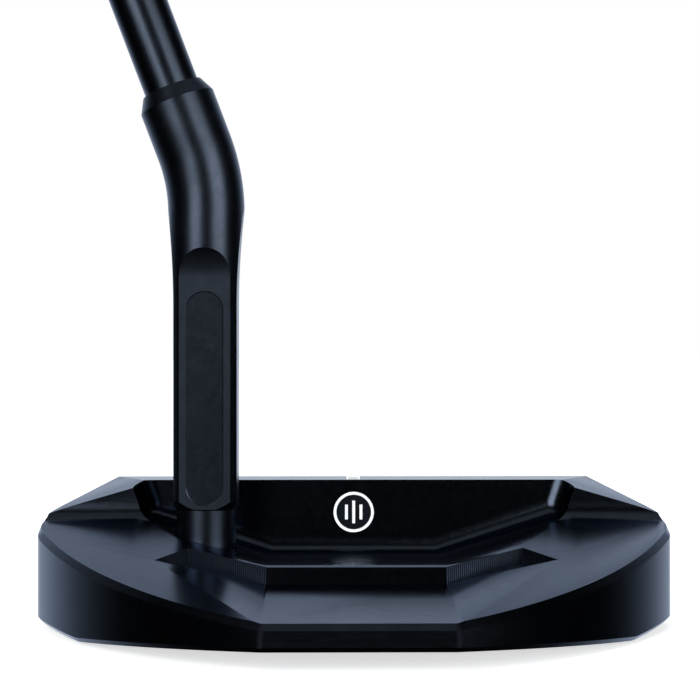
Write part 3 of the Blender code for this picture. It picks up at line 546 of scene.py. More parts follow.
def settle(piece, rounding=EDGE_ROUNDING, segments=2, keep_sharp=()):
    """Applies the piece's cuts, rounds its sharp edges and scales it to metres."""
    bpy.context.view_layer.update()
    cutters = [step.object for step in piece.modifiers]
    graph = bpy.context.evaluated_depsgraph_get()
    mesh = bpy.data.meshes.new_from_object(piece.evaluated_get(graph))
    piece.modifiers.clear()
    for cutter in cutters:
        bpy.data.objects.remove(cutter)
    bm = bmesh.new()
    bm.from_mesh(mesh)
    bmesh.ops.remove_doubles(bm, verts=bm.verts, dist=WELD_DISTANCE)
    bmesh.ops.dissolve_degenerate(bm, edges=bm.edges, dist=WELD_DISTANCE)
    plain = [slot for slot, surface in enumerate(mesh.materials) if surface not in keep_sharp]
    if rounding:
        edges = []
        for edge in bm.edges:
            if len(edge.link_faces) == 2 and edge.calc_face_angle() > EDGE_ANGLE:
                if all(face.material_index in plain for face in edge.link_faces):
                    edges.append(edge)
        bmesh.ops.bevel(
            bm,
            geom=edges,
            offset=rounding,
            offset_type="OFFSET",
            segments=segments,
            profile=0.5,
            affect="EDGES",
            clamp_overlap=True,
            miter_outer="ARC",
        )
    bmesh.ops.scale(bm, vec=Vector((MM, MM, MM)), verts=bm.verts)
    bm.to_mesh(mesh)
    bm.free()
    old = piece.data
    piece.data = mesh
    bpy.data.meshes.remove(old)
    mesh.name = piece.name
    mesh.shade_smooth()
    mesh.set_sharp_from_angle(angle=SHARP_ANGLE)
    weighted = piece.modifiers.new("weighted_normals", "WEIGHTED_NORMAL")
    weighted.keep_sharp = True
    weighted.weight = 80


def finish_piece(piece, slot, *nodes):
    """Hangs a settled piece on the frame in place of its CAD nodes."""
    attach(piece, "root")
    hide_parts(*nodes)


def sideways_prism(name, profile, half_width, surface):
    """Extrudes a (depth, z) profile along X."""
    rings = [[head_point(x, depth, z) for depth, z in profile] for x in (-half_width, half_width)]
    return ring_solid(name, rings, surface)


def upright_prism(name, outline, low, high, surface):
    rings = [[Vector((x, y, low)) for x, y in outline], [Vector((x, y, high)) for x, y in outline]]
    return ring_solid(name, rings, surface)


def depth_rings(outline, depths):
    """The same (x, z) outline at each depth."""
    return [[head_point(x, depth, z) for x, z in outline] for depth in depths]


def circle(radius, sides, centre):
    turns = [2 * math.pi * index / sides for index in range(sides)]
    return [(centre[0] + radius * math.cos(a), centre[1] + radius * math.sin(a)) for a in turns]


def turned_rings(profile, sides, centre):
    """Rings about a vertical line, from (radius, z) pairs."""
    return [[Vector((x, y, z)) for x, y in circle(radius, sides, centre)] for radius, z in profile]


def straight(radius, low, high):
    """Profile of a plain round hole."""
    return [(radius, low), (radius, high)]


def cut_round(target, name, profile, sides, centre, surface):
    cut(target, ring_solid(name, turned_rings(profile, sides, centre), surface))


def rounded_rectangle(half_x, half_y, radius, centre_y, steps=14):
    outline = []
    corners = ((1, 1, 0), (-1, 1, 1), (-1, -1, 2), (1, -1, 3))
    for side_x, side_y, quarter in corners:
        for step in range(steps + 1):
            angle = math.pi / 2 * (quarter + step / steps)
            x = side_x * (half_x - radius) + radius * math.cos(angle)
            y = centre_y + side_y * (half_y - radius) + radius * math.sin(angle)
            outline.append((x, y))
    return outline


# Head


def arc_points(centre, radius, first, last, steps):
    points = []
    for step in range(steps + 1):
        angle = first + (last - first) * step / steps
        points.append((centre.x + radius * math.cos(angle), centre.y + radius * math.sin(angle)))
    return points


def corner_fillet_centre(start, along, inward):
    """Centre of the arc that is tangent to the corner cut and to the side's big arc."""
    foot = start + inward * CORNER_RADIUS - Vector(SIDE_CENTRE)
    reach = SIDE_RADIUS - CORNER_RADIUS
    half_b = foot.dot(along)
    distance = -half_b + math.sqrt(half_b**2 - foot.length_squared + reach**2)
    return start + inward * CORNER_RADIUS + along * distance


def rear_fillet_centre():
    """Centre of the small arc between the side's big arc and the rear flat."""
    depth = HEAD_DEPTH - REAR_CORNER_RADIUS
    reach = SIDE_RADIUS - REAR_CORNER_RADIUS
    side_x, side_depth = SIDE_CENTRE
    return Vector((side_x + math.sqrt(reach**2 - (depth - side_depth) ** 2), depth))


def toe_outline(corner_steps=14, side_steps=64, rear_steps=8):
    """(x, depth) points of the toe half, from the face round to the rear flat."""
    start = Vector((FACE_HALF_WIDTH, 0.0))
    along = (Vector(CORNER_CUT_END) - start).normalized()
    inward = Vector((-along.y, along.x))
    corner = corner_fillet_centre(start, along, inward)
    rear = rear_fillet_centre()
    side = Vector(SIDE_CENTRE)
    corner_start = math.atan2(-inward.y, -inward.x)
    side_start = math.atan2(corner.y - side.y, corner.x - side.x)
    side_end = math.atan2(rear.y - side.y, rear.x - side.x)
    front = start - along * FACE_OVERRUN
    points = [(front.x, front.y)]
    points += arc_points(corner, CORNER_RADIUS, corner_start, side_start, corner_steps)
    points += arc_points(side, SIDE_RADIUS, side_start, side_end, side_steps)[1:]
    points += arc_points(rear, REAR_CORNER_RADIUS, side_end, math.pi / 2, rear_steps)[1:]
    return points


def flange_height(depth):
    return FLANGE_REAR_HEIGHT + FLANGE_SLOPE * (HEAD_DEPTH - depth)


def sole_height(x, depth):
    """Height of the sole: flat in the middle, rising to the face, the rear, the heel and the toe."""
    rear = SOLE_REAR_RISE * (depth - SOLE_REAR_DEPTH) / (HEAD_DEPTH - SOLE_REAR_DEPTH)
    front = SOLE_FRONT_RISE * (SOLE_FRONT_DEPTH - depth) / SOLE_FRONT_DEPTH
    side = SOLE_SIDE_SLOPE * (abs(x) - SOLE_SIDE_START)
    return max(0.0, rear, front, side)


def mitred(points, distance, closed=True):
    """Moves a row of points to its left by a distance, which is inwards on the head's outline."""
    moved = []
    for index, point in enumerate(points):
        here = Vector(point)
        behind = here - Vector(points[index - 1])
        ahead = Vector(points[(index + 1) % len(points)]) - here
        if not closed and index == 0:
            behind = ahead
        if not closed and index == len(points) - 1:
            ahead = behind
        first = behind.normalized()
        second = ahead.normalized()
        first_left = Vector((-first.y, first.x))
        left = (first_left + Vector((-second.y, second.x))).normalized()
        moved.append(here + left * distance / left.dot(first_left))
    return moved


def chamfered_outline(outline):
    """The outline inside the upper chamfer, which fades out towards the shoulders."""
    faded = []
    for (x, depth), (inner_x, inner_depth) in zip(outline, mitred(outline, EDGE_CHAMFER)):
        share = (depth - CHAMFER_START) / (CHAMFER_FULL - CHAMFER_START)
        share = min(max(share, 0.0), 1.0)
        faded.append((x + (inner_x - x) * share, depth + (inner_depth - depth) * share))
    return faded


def head_blank(surface):
    toe = toe_outline()
    outline = toe + [(-x, depth) for x, depth in reversed(toe)]
    inner = chamfered_outline(outline)
    low = mitred(outline, SOLE_CHAMFER)
    rings = [
        [head_point(x, depth, sole_height(x, depth)) for x, depth in low],
        [head_point(x, depth, sole_height(x, depth) + SOLE_CHAMFER) for x, depth in outline],
        [head_point(x, depth, flange_height(depth) - EDGE_CHAMFER) for x, depth in outline],
        [head_point(x, depth, flange_height(depth)) for x, depth in inner],
        [head_point(x, depth, TOPLINE_HEIGHT + 1.0) for x, depth in inner],
    ]
    return ring_solid("head_body_fine", rings, surface)


def relief(start, end, rise):
    """Profile of what is cut off below a plane that rises from the ground."""
    below = -6.0
    return [(start, 0.0), (start, below), (end, below), (end, rise)]


def cut_sole_relief(head, surface):
    """Planes that lift the front, rear, heel and toe of the sole off the ground."""
    start, end = SOLE_REAR_DEPTH, HEAD_DEPTH + 5.0
    rise = SOLE_REAR_RISE * (end - start) / (HEAD_DEPTH - start)
    cut(head, sideways_prism("sole_rear_relief", relief(start, end, rise), REACH, surface))
    start, end = SOLE_FRONT_DEPTH, -6.0
    rise = SOLE_FRONT_RISE * (start - end) / start
    cut(head, sideways_prism("sole_front_relief", relief(start, end, rise), REACH, surface))
    start, end = SOLE_SIDE_START, 60.0
    corners = relief(start, end, SOLE_SIDE_SLOPE * (end - start))
    for side, name in ((-1, "sole_heel_relief"), (1, "sole_toe_relief")):
        rings = depth_rings([(side * x, z) for x, z in corners], (-8.0, HEAD_DEPTH + 9.5))
        cut(head, ring_solid(name, rings, surface))


def cut_face_loft(head, surface):
    over = 6.0
    drop = TOPLINE_HEIGHT + over
    low = TOPLINE_HEIGHT - drop
    high = TOPLINE_HEIGHT + over
    foot = -drop * math.tan(LOFT_ANGLE)
    lean = over * math.tan(LOFT_ANGLE)
    profile = [(foot, low), (-20.0, low), (-20.0, high), (lean, high)]
    cut(head, sideways_prism("face_plane", profile, REACH, surface))


def cut_flange(head, surface):
    """Everything above the flange, behind the shoulders and their round foot."""
    slope = math.atan(FLANGE_SLOPE)
    centre_depth = SHOULDER_DEPTH + SHOULDER_RADIUS
    centre_z = flange_height(centre_depth) + SHOULDER_RADIUS / math.cos(slope)
    centre = Vector((centre_depth, centre_z))
    profile = [(SHOULDER_DEPTH, SKY)]
    profile += arc_points(centre, SHOULDER_RADIUS, math.pi, 1.5 * math.pi - slope, 28)
    end = HEAD_DEPTH + 6.0
    profile += [(end, flange_height(end)), (end, SKY)]
    cut(head, sideways_prism("flange_cut", profile, REACH, surface))


def cut_topline(head, surface):
    corners = [(-REACH, -REACH), (REACH, -REACH), (REACH, REACH), (-REACH, REACH)]
    cut(head, upright_prism("topline_plane", corners, TOPLINE_HEIGHT, HIGH_SKY, surface))


def cut_shoulder_facets(head, surface):
    front, back = FACET_CUT_DEPTHS
    for side, name in ((-1, "heel_facet"), (1, "toe_facet")):
        rings = []
        for x in (FACET_INNER_X, REACH):
            ring = []
            for depth in (front, back):
                fall = FACET_SLOPE_X * (x - FACET_START) + FACET_SLOPE_DEPTH * depth
                ring.append(head_point(side * x, depth, TOPLINE_HEIGHT - fall))
            ring.append(head_point(side * x, back, HIGH_SKY))
            ring.append(head_point(side * x, front, HIGH_SKY))
            rings.append(ring)
        cut(head, ring_solid(name, rings, surface))


def pocket_half_profile(depth, corner_steps=14):
    """(x, z) points of the toe half of the pocket at one depth, from its middle outwards."""
    floor = POCKET_FLOOR + POCKET_FLOOR_RISE * (depth - TOPLINE_DEPTH)
    slope = WING_SLOPE - WING_SLOPE_LOSS * (depth - TOPLINE_DEPTH)
    wing = Vector((1.0, slope)).normalized()
    crease = Vector((POCKET_HALF_FLOOR, floor))
    foot = Vector(POCKET_SIDE_FOOT)
    side = (Vector(POCKET_SIDE_RIM) - foot).normalized()
    across = crease - foot
    along_wing = -(across.x * side.y - across.y * side.x) / (wing.x * side.y - wing.y * side.x)
    corner = crease + wing * along_wing
    turn = math.acos(wing.dot(side))
    reach = POCKET_CORNER_RADIUS * math.tan(turn / 2)
    normal = Vector((-wing.y, wing.x))
    centre = corner - wing * reach + normal * POCKET_CORNER_RADIUS
    first = math.atan2(-normal.y, -normal.x)
    arc = arc_points(centre, POCKET_CORNER_RADIUS, first, first + turn, corner_steps)
    points = [crease] + [Vector(point) for point in arc]
    points.append(foot + side * ((SKY + 2.0 - foot.y) / side.y))
    return points


def fillet_inset(ahead, radius):
    """How far a fillet still stands in from its wall, at a distance ahead of the other wall."""
    rest = max(radius - ahead, 0.0)
    return radius - math.sqrt(radius**2 - rest**2)


def cut_pocket(head, surface, fillet_steps=20, length_steps=8):
    """The pocket, lofted from the wall behind the face to past the step."""
    places = []
    for step in range(fillet_steps + 1):
        places.append(POCKET_END_RADIUS * (1 - math.cos(math.pi / 2 * step / fillet_steps)))
    length = POCKET_END_DEPTH - TOPLINE_DEPTH - POCKET_END_RADIUS
    for step in range(1, length_steps + 1):
        places.append(POCKET_END_RADIUS + length * step / length_steps)
    wing = POCKET_SIDE_FOOT[0] - POCKET_HALF_FLOOR
    rings = []
    for ahead in places:
        depth = TOPLINE_DEPTH + ahead
        floor_inset = fillet_inset(ahead, POCKET_FILLET)
        squeeze = 1 - (fillet_inset(ahead, POCKET_END_RADIUS) - floor_inset) / wing
        half = []
        for point in mitred(pocket_half_profile(depth), floor_inset, False):
            half.append((POCKET_HALF_FLOOR + (point.x - POCKET_HALF_FLOOR) * squeeze, point.y))
        ring = [(-x, z) for x, z in reversed(half)] + half
        rings.append([head_point(x, depth, z) for x, z in ring])
    cut(head, ring_solid("pocket", rings, surface))


def plane_height(corners):
    """A function that gives z on the plane through three (x, depth, z) corners."""
    first, second, third = (Vector(corner) for corner in corners)
    normal = (second - first).cross(third - first)

    def height(x, depth):
        return first.z - (normal.x * (x - first.x) + normal.y * (depth - first.y)) / normal.z

    return height


def rippled(start, end, height):
    """Points of a wall that a side mill has left in shallow scoops, without its last one."""
    along = Vector(end[:2]) - Vector(start[:2])
    count = round(along.length / RIPPLE_PITCH)
    outward = Vector((along.y, -along.x)).normalized()
    points = []
    steps = RIPPLE_POINTS * count
    for step in range(steps):
        scoop = math.sin(math.pi * (step % RIPPLE_POINTS) / RIPPLE_POINTS) * RIPPLE_DEPTH
        place = Vector(start[:2]) + along * step / steps + outward * scoop
        points.append((place.x, place.y, height(place.x, place.y)))
    return points


def cut_step(head, ramp, wall, wing_wall):
    """The stepped ramp. Its floor has a middle plane and two triangles on each side."""
    fall = (STEP_FOOT - FLANGE_REAR_HEIGHT) / (HEAD_DEPTH - STEP_DEPTH)
    foot = (STEP_HALF_WIDTH, STEP_DEPTH, STEP_FOOT)
    rear_x = REAR_HALF_WIDTH + GAP
    rear_depth = HEAD_DEPTH - GAP
    rear = (rear_x, rear_depth, flange_height(rear_depth) + RAMP_REAR_LIFT)
    end = (STEP_HALF_WIDTH, HEAD_DEPTH + RAMP_OVERRUN, FLANGE_REAR_HEIGHT - fall * RAMP_OVERRUN)
    front_height = plane_height((foot, STEP_PEAK, STEP_TIP))
    wing_points = rippled(foot, STEP_PEAK, front_height) + rippled(STEP_PEAK, STEP_TIP, front_height)
    half = [foot] + wing_points[1:] + [STEP_TIP, rear, end]
    bm = bmesh.new()
    sides = []
    for side in (1, -1):
        floor = [bm.verts.new(head_point(side * x, depth, z)) for x, depth, z in half]
        roof = [bm.verts.new(head_point(side * x, depth, SKY)) for x, depth, z in half]
        sides.append((floor, roof))
        tip = len(wing_points)
        bm.faces.new(floor[: tip + 1])
        bm.faces.new((floor[0], floor[tip], floor[tip + 1]))
        bm.faces.new((floor[0], floor[tip + 1], floor[tip + 2]))
        for index in range(len(half) - 1):
            face = bm.faces.new((floor[index], floor[index + 1], roof[index + 1], roof[index]))
            face.material_index = 2 if index < tip else 0
    (toe_floor, toe_roof), (heel_floor, heel_roof) = sides
    bm.faces.new((toe_floor[0], toe_floor[-1], heel_floor[-1], heel_floor[0]))
    bm.faces.new(toe_roof + heel_roof[::-1])
    middle = bm.faces.new((toe_floor[0], toe_roof[0], heel_roof[0], heel_floor[0]))
    middle.material_index = 1
    bm.faces.new((toe_floor[-1], toe_roof[-1], heel_roof[-1], heel_floor[-1]))
    cut(head, new_object("step_cut", bm, ramp, wall, wing_wall))


def plate_screw_places():
    places = []
    for x in (-PLATE_SCREW_X, PLATE_SCREW_X):
        for y in (PLATE_CENTRE_Y - PLATE_SCREW_Y, PLATE_CENTRE_Y + PLATE_SCREW_Y):
            places.append((x, y))
    return places


def neck_place():
    return (NECK_X, FACE_TOP_Y - NECK_DEPTH)


def dowel_place():
    x, y = neck_place()
    return (x, y + DOWEL_OFFSET)


def cut_sole_fittings(head, surface):
    """Recess of the sole plate, weight pockets, tapped holes and the neck's seat and screw hole."""
    half_length = PLATE_HALF_LENGTH + GAP
    recess = rounded_rectangle(half_length, PLATE_HALF_WIDTH + GAP, PLATE_CORNER + GAP, PLATE_CENTRE_Y)
    cut(head, upright_prism("plate_recess", recess, -2.0, PLATE_THICKNESS + GAP, surface))
    for side, name in ((-1, "heel_weight_pocket"), (1, "toe_weight_pocket")):
        top = WEIGHT_TOP + WASHER_THICKNESS + 2 * GAP
        pocket = straight(WEIGHT_RADIUS + GAP, -2.0, top)
        cut_round(head, name, pocket, ROUND_SIDES, (side * WEIGHT_X, WEIGHT_Y), surface)
    screw = straight(PLATE_SCREW_SHANK + GAP, 2.0, PLATE_SCREW_LENGTH + GAP)
    holes = [turned_rings(screw, SMALL_SIDES, place) for place in plate_screw_places()]
    dowel = straight(DOWEL_RADIUS + GAP, DOWEL_BOTTOM - GAP, NECK_SEAT + 1.0)
    holes.append(turned_rings(dowel, SMALL_SIDES, dowel_place()))
    cut_together(head, "small_holes", holes, surface)
    bolt = [
        (NECK_SCREW_HEAD + GAP, 2.0),
        (NECK_SCREW_HEAD + GAP, NECK_SCREW_SEAT),
        (NECK_SCREW_SHANK + GAP, NECK_SCREW_SEAT),
        (NECK_SCREW_SHANK + GAP, NECK_SEAT + 1.0),
    ]
    cut_round(head, "neck_screw_hole", bolt, SMALL_SIDES, neck_place(), surface)
    seat = straight(NECK_FOOT_RADIUS + GAP, NECK_SEAT, SKY)
    cut_round(head, "neck_seat", seat, ROUND_SIDES, neck_place(), surface)


def cut_marks(head, surface):
    """Groove in the topline, and the recess behind the badge."""
    bottom = TOPLINE_HEIGHT - ALIGNMENT_DEPTH - GAP
    end = ALIGNMENT_END + GAP
    profile = [(-4.0, bottom), (-4.0, SKY), (end, SKY), (end, bottom)]
    cut(head, sideways_prism("alignment_groove", profile, ALIGNMENT_WIDTH / 2 + GAP, surface))
    outline = circle(BADGE_RADIUS + GAP, ROUND_SIDES, (0.0, BADGE_HEIGHT))
    depths = (TOPLINE_DEPTH - BADGE_SINK - GAP, BADGE_CUT_END)
    cut(head, ring_solid("badge_recess", depth_rings(outline, depths), surface))


def make_head():
    satin = satin_black()
    blasted = blasted_black()
    wing_wall = milled_black()
    head = head_blank(satin)
    cut_face_loft(head, face_black())
    cut_flange(head, satin)
    cut_topline(head, satin)
    cut_shoulder_facets(head, satin)
    cut_pocket(head, blasted)
    cut_step(head, satin, blasted, wing_wall)
    cut_sole_relief(head, satin)
    cut_sole_fittings(head, blasted)
    cut_marks(head, blasted)
    settle(head, keep_sharp=(wing_wall,))
    finish_piece(head, "head", "head_body")


# Pieces in the sole


def make_sole_plate():
    steel = brushed_steel()
    outline = rounded_rectangle(PLATE_HALF_LENGTH, PLATE_HALF_WIDTH, PLATE_CORNER, PLATE_CENTRE_Y)
    plate = upright_prism("sole_plate_fine", outline, 0.0, PLATE_THICKNESS, steel)
    head = PLATE_SCREW_HEAD + GAP
    shank = PLATE_SCREW_SHANK + GAP
    profile = [(head + 1.0, -1.0), (head, 0.0), (shank, head - shank), (shank, PLATE_THICKNESS + 1.0)]
    holes = [turned_rings(profile, SMALL_SIDES, place) for place in plate_screw_places()]
    cut_together(plate, "plate_holes", holes, steel)
    settle(plate, 0.2, 3)
    finish_piece(plate, "sole_plate", "sole_plate")


def make_plate_screws(surface):
    """Countersunk screws with hexagon sockets and a rolled thread."""
    low = PLATE_SCREW_SINK
    shank = PLATE_SCREW_SHANK
    profile = [(PLATE_SCREW_HEAD - low, low), (shank, low + PLATE_SCREW_HEAD - shank)]
    start = PLATE_THICKNESS
    point_drop, point_length = PLATE_SCREW_POINT
    turns = int((PLATE_SCREW_LENGTH - point_length - start) / THREAD_PITCH)
    for turn in range(turns):
        profile.append((shank, start + turn * THREAD_PITCH))
        profile.append((shank - THREAD_DEPTH, start + (turn + 0.5) * THREAD_PITCH))
    profile += [(shank, start + turns * THREAD_PITCH), (shank - point_drop, PLATE_SCREW_LENGTH)]
    socket = straight(SCREW_SOCKET_RADIUS, low - 1.0, low + SCREW_SOCKET_DEPTH)
    for number, place in enumerate(plate_screw_places(), 1):
        rings = turned_rings(profile, SMALL_SIDES, place)
        screw = ring_solid(f"plate_screw_fine_{number}", rings, surface)
        cut_round(screw, "screw_socket", socket, HEXAGON, place, surface)
        settle(screw, 0.05, 1)
        finish_piece(screw, "fastener", f"sole_plate_screw_{number}")


def make_weights():
    steel = turned_steel()
    profile = [
        (WEIGHT_RADIUS - WEIGHT_LOW_EDGE, WEIGHT_BOTTOM),
        (WEIGHT_RADIUS, WEIGHT_BOTTOM + WEIGHT_LOW_EDGE),
        (WEIGHT_RADIUS, WEIGHT_TOP - WEIGHT_TOP_EDGE),
        (WEIGHT_RADIUS - WEIGHT_TOP_EDGE, WEIGHT_TOP),
    ]
    socket = straight(WEIGHT_SOCKET_RADIUS, WEIGHT_BOTTOM - 1.0, WEIGHT_BOTTOM + WEIGHT_SOCKET_DEPTH)
    for side, name in ((-1, "sole_weight_heel"), (1, "sole_weight_toe")):
        centre = (side * WEIGHT_X, WEIGHT_Y)
        weight = ring_solid(name + "_fine", turned_rings(profile, ROUND_SIDES, centre), steel)
        floor = WEIGHT_BOTTOM + GROOVE_SIZE
        for radius in GROOVE_RADII:
            wide = radius + GROOVE_SIZE
            narrow = radius - GROOVE_SIZE
            groove = [(wide, -1.0), (wide, floor), (narrow, floor), (narrow, -1.0)]
            cut(weight, loop_solid("weight_groove", turned_rings(groove, ROUND_SIDES, centre), steel))
        cut_round(weight, "weight_socket", socket, HEXAGON, centre, steel)
        settle(weight, 0.08, 2)
        finish_piece(weight, "weight", name)


# Neck


def shaft_direction():
    return Vector((-math.sin(SHAFT_ANGLE), 0.0, math.cos(SHAFT_ANGLE)))


def shaft_point(distance):
    """A point on the shaft's axis, at a distance above the corner of the bend."""
    x, y = neck_place()
    return Vector((x, y, BEND_HEIGHT)) + shaft_direction() * distance


def bar_ring(centre, angle, radius, sides):
    """A ring across a bar that leans towards the heel by an angle. Its first point faces the toe."""
    across = Vector((math.cos(angle), 0.0, math.sin(angle)))
    ring = []
    for index in range(sides):
        turn = 2 * math.pi * index / sides
        ring.append(centre + radius * (across * math.cos(turn) + Vector((0.0, math.sin(turn), 0.0))))
    return ring


def shaft_ring(distance, radius, sides=ROUND_SIDES):
    return bar_ring(shaft_point(distance), SHAFT_ANGLE, radius, sides)


def neck_rings(bend_steps=36):
    """Rings of the bent bar, from its foot to the collar."""
    x, y = neck_place()
    foot = [
        (NECK_FOOT_RADIUS, NECK_SEAT + GAP),
        (NECK_FOOT_RADIUS, NECK_FOOT_TOP),
        (NECK_RADIUS, NECK_FOOT_TOP + NECK_RADIUS - NECK_FOOT_RADIUS),
        (NECK_RADIUS, NECK_MIDDLE),
    ]
    rings = turned_rings(foot, ROUND_SIDES, (x, y))
    tangent = BEND_RADIUS * math.tan(SHAFT_ANGLE / 2)
    for step in range(bend_steps + 1):
        angle = SHAFT_ANGLE * step / bend_steps
        sideways = BEND_RADIUS * (1 - math.cos(angle))
        upwards = BEND_HEIGHT - tangent + BEND_RADIUS * math.sin(angle)
        rings.append(bar_ring(Vector((x - sideways, y, upwards)), angle, NECK_RADIUS, ROUND_SIDES))
    rings.append(shaft_ring(COLLAR_END - COLLAR_CHAMFER, NECK_RADIUS))
    rings.append(shaft_ring(COLLAR_END, COLLAR_LIP_RADIUS))
    return rings


def flat_profile(face, low, top, fade, steps=16):
    """(outward distance, z) outline of what is milled off a flat, with the cutter's round run-out."""
    rise = NECK_RADIUS - face + RUN_OUT_OVERLAP
    radius = ((fade - top) ** 2 + rise**2) / (2 * rise)
    profile = [(face, low)]
    for step in range(steps + 1):
        along = (fade - top) * step / steps
        profile.append((face + radius - math.sqrt(radius**2 - along**2), top + along))
    return profile + [(NECK_CUT_REACH, fade), (NECK_CUT_REACH, low)]


def pill_outline(half_width, low, high, steps=24):
    """(x, z) points of an upright slot shape with round ends."""
    x, _ = neck_place()
    outline = arc_points(Vector((x, high - half_width)), half_width, 0.0, math.pi, steps)
    outline += arc_points(Vector((x, low + half_width)), half_width, math.pi, 2 * math.pi, steps)
    return outline


def make_neck():
    black = neck_black("neck_black", 0.28, 0.34)
    flat_black = neck_black("neck_flat_black", 0.39, 0.45)
    neck = ring_solid("neck_fine", neck_rings(), black)
    x, y = neck_place()
    far = NECK_CUT_REACH
    profile = flat_profile(NECK_SIDE, NECK_SIDE_LOW, NECK_SIDE_TOP, NECK_SIDE_FADE)
    for side, name in ((-1, "neck_heel_side"), (1, "neck_toe_side")):
        outline = [(x + side * out, z) for out, z in profile]
        rings = [[Vector((px, y + depth, z)) for px, z in outline] for depth in (-far, far)]
        cut(neck, ring_solid(name, rings, black))
    profile = flat_profile(NECK_FLAT, NECK_FLAT_LOW, NECK_FLAT_TOP, NECK_FLAT_FADE)
    rings = [[Vector((x + side * far, y - out, z)) for out, z in profile] for side in (-1, 1)]
    cut(neck, ring_solid("neck_rear_flat", rings, flat_black))
    bore = [shaft_ring(place, BORE_RADIUS) for place in (BORE_END, COLLAR_END + 5.0)]
    cut(neck, ring_solid("shaft_bore", bore, black))
    floor = pill_outline(PILL_HALF_WIDTH - PILL_EDGE, PILL_LOW + PILL_EDGE, PILL_HIGH - PILL_EDGE)
    mouth = pill_outline(PILL_HALF_WIDTH, PILL_LOW, PILL_HIGH)
    flat_y = y - NECK_FLAT
    pill = [(floor, flat_y + PILL_SINK), (mouth, flat_y), (mouth, flat_y - 1.0)]
    rings = [[Vector((px, py, z)) for px, z in outline] for outline, py in pill]
    cut(neck, ring_solid("neck_pill", rings, black))
    screw = straight(NECK_SCREW_SHANK + GAP, NECK_HOLES_START, NECK_SCREW_TOP + GAP)
    dowel = straight(DOWEL_RADIUS + GAP, NECK_HOLES_START, DOWEL_TOP + GAP)
    places = ((screw, neck_place()), (dowel, dowel_place()))
    holes = [turned_rings(profile, SMALL_SIDES, place) for profile, place in places]
    cut_together(neck, "neck_holes", holes, black)
    settle(neck, 0.1)
    finish_piece(neck, "neck", "neck")


# Shaft and grip


def shaft_radius(distance):
    """Outer radius: a parallel tip, an even taper, then a parallel butt."""
    share = (distance - SHAFT_TAPER_START) / (SHAFT_TAPER_END - SHAFT_TAPER_START)
    return SHAFT_TIP_RADIUS + (SHAFT_BUTT_RADIUS - SHAFT_TIP_RADIUS) * min(max(share, 0.0), 1.0)


def make_shaft():
    pitch = (SHAFT_TAPER_END - SHAFT_TAPER_START) / SHAFT_TAPER_STEPS
    taper = [SHAFT_TAPER_START + pitch * step for step in range(SHAFT_TAPER_STEPS + 1)]
    places = [0.0] + taper + [SHAFT_END]
    outer = [shaft_ring(place, shaft_radius(place)) for place in places]
    inner = [shaft_ring(place, shaft_radius(place) - SHAFT_WALL) for place in reversed(places)]
    shaft = loop_solid("shaft_fine", outer + inner, shaft_black())
    settle(shaft, 0.15)
    finish_piece(shaft, "shaft", "shaft")


def grip_section(distance, sides):
    """Directions and reaches of the grip's skin: a flat front that faces +X, round behind."""
    share = (distance - GRIP_START) / (GRIP_END - GRIP_START)
    swell = math.exp(-(((share - GRIP_SWELL_PLACE) / GRIP_SWELL_REACH) ** 2))
    half_width = GRIP_HALF_WIDTH + GRIP_TAPER[0] * share + GRIP_SWELL[0] * swell
    back = GRIP_BACK + GRIP_TAPER[1] * share + GRIP_SWELL[1] * swell
    front = GRIP_FRONT + GRIP_TAPER[2] * share
    across = Vector((math.cos(SHAFT_ANGLE), 0.0, math.sin(SHAFT_ANGLE)))
    offsets = []
    for index in range(sides):
        angle = 2 * math.pi * index / sides
        reach, power = (front, GRIP_FRONT_POWER) if math.cos(angle) > 0 else (back, GRIP_BACK_POWER)
        along = reach * math.copysign(abs(math.cos(angle)) ** power, math.cos(angle))
        wide = half_width * math.copysign(abs(math.sin(angle)) ** GRIP_SIDE_POWER, math.sin(angle))
        offsets.append(across * along + Vector((0.0, wide, 0.0)))
    return offsets


def dimple(distance, around):
    """Depth of the round dimples on the grip, set in staggered rows."""
    row = math.floor(distance / DIMPLE_PITCH)
    middle = (row + 0.5) * DIMPLE_PITCH
    shift = 0.5 * (row % 2)
    column = around / DIMPLE_PITCH + shift
    offset = (column - math.floor(column) - 0.5) * DIMPLE_PITCH
    reach = math.hypot(distance - middle, offset) / DIMPLE_RADIUS
    return 0.0 if reach >= 1.0 else DIMPLE_DEPTH * (1 - reach**2)


def make_grip():
    """The grip's skin, with dimples all round between two plain bands."""
    outer = []
    for row in range(GRIP_ROWS + 1):
        place = GRIP_START + (GRIP_END - GRIP_START) * row / GRIP_ROWS
        middle = shaft_point(place)
        offsets = grip_section(place, GRIP_SIDES)
        plain = min(place - GRIP_START, GRIP_END - place) < GRIP_PLAIN_BAND
        ring = []
        around = 0.0
        for index, offset in enumerate(offsets):
            around += (offset - offsets[index - 1]).length if index else 0.0
            sink = 0.0 if plain else dimple(place - GRIP_START, around)
            ring.append(middle + offset * (1 - sink / offset.length))
        outer.append(ring)
    mouth_radius = shaft_radius(GRIP_START) + GRIP_CLEARANCE + GRIP_MOUTH_WALL
    turn_in = shaft_direction() * GRIP_MOUTH
    mouth = [point - turn_in for point in shaft_ring(GRIP_START, mouth_radius, GRIP_SIDES)]
    places = [GRIP_END, SHAFT_TAPER_END, GRIP_START]
    inner = [shaft_ring(place, shaft_radius(place) + GRIP_CLEARANCE, GRIP_SIDES) for place in places]
    rubber = moulded("grip_rubber", GRIP_RUBBER, 0.6, 5.0, 0.02)
    grip = loop_solid("grip_skin_fine", [mouth] + outer + inner, rubber)
    settle(grip, 0.0)
    finish_piece(grip, "grip", "grip_skin")


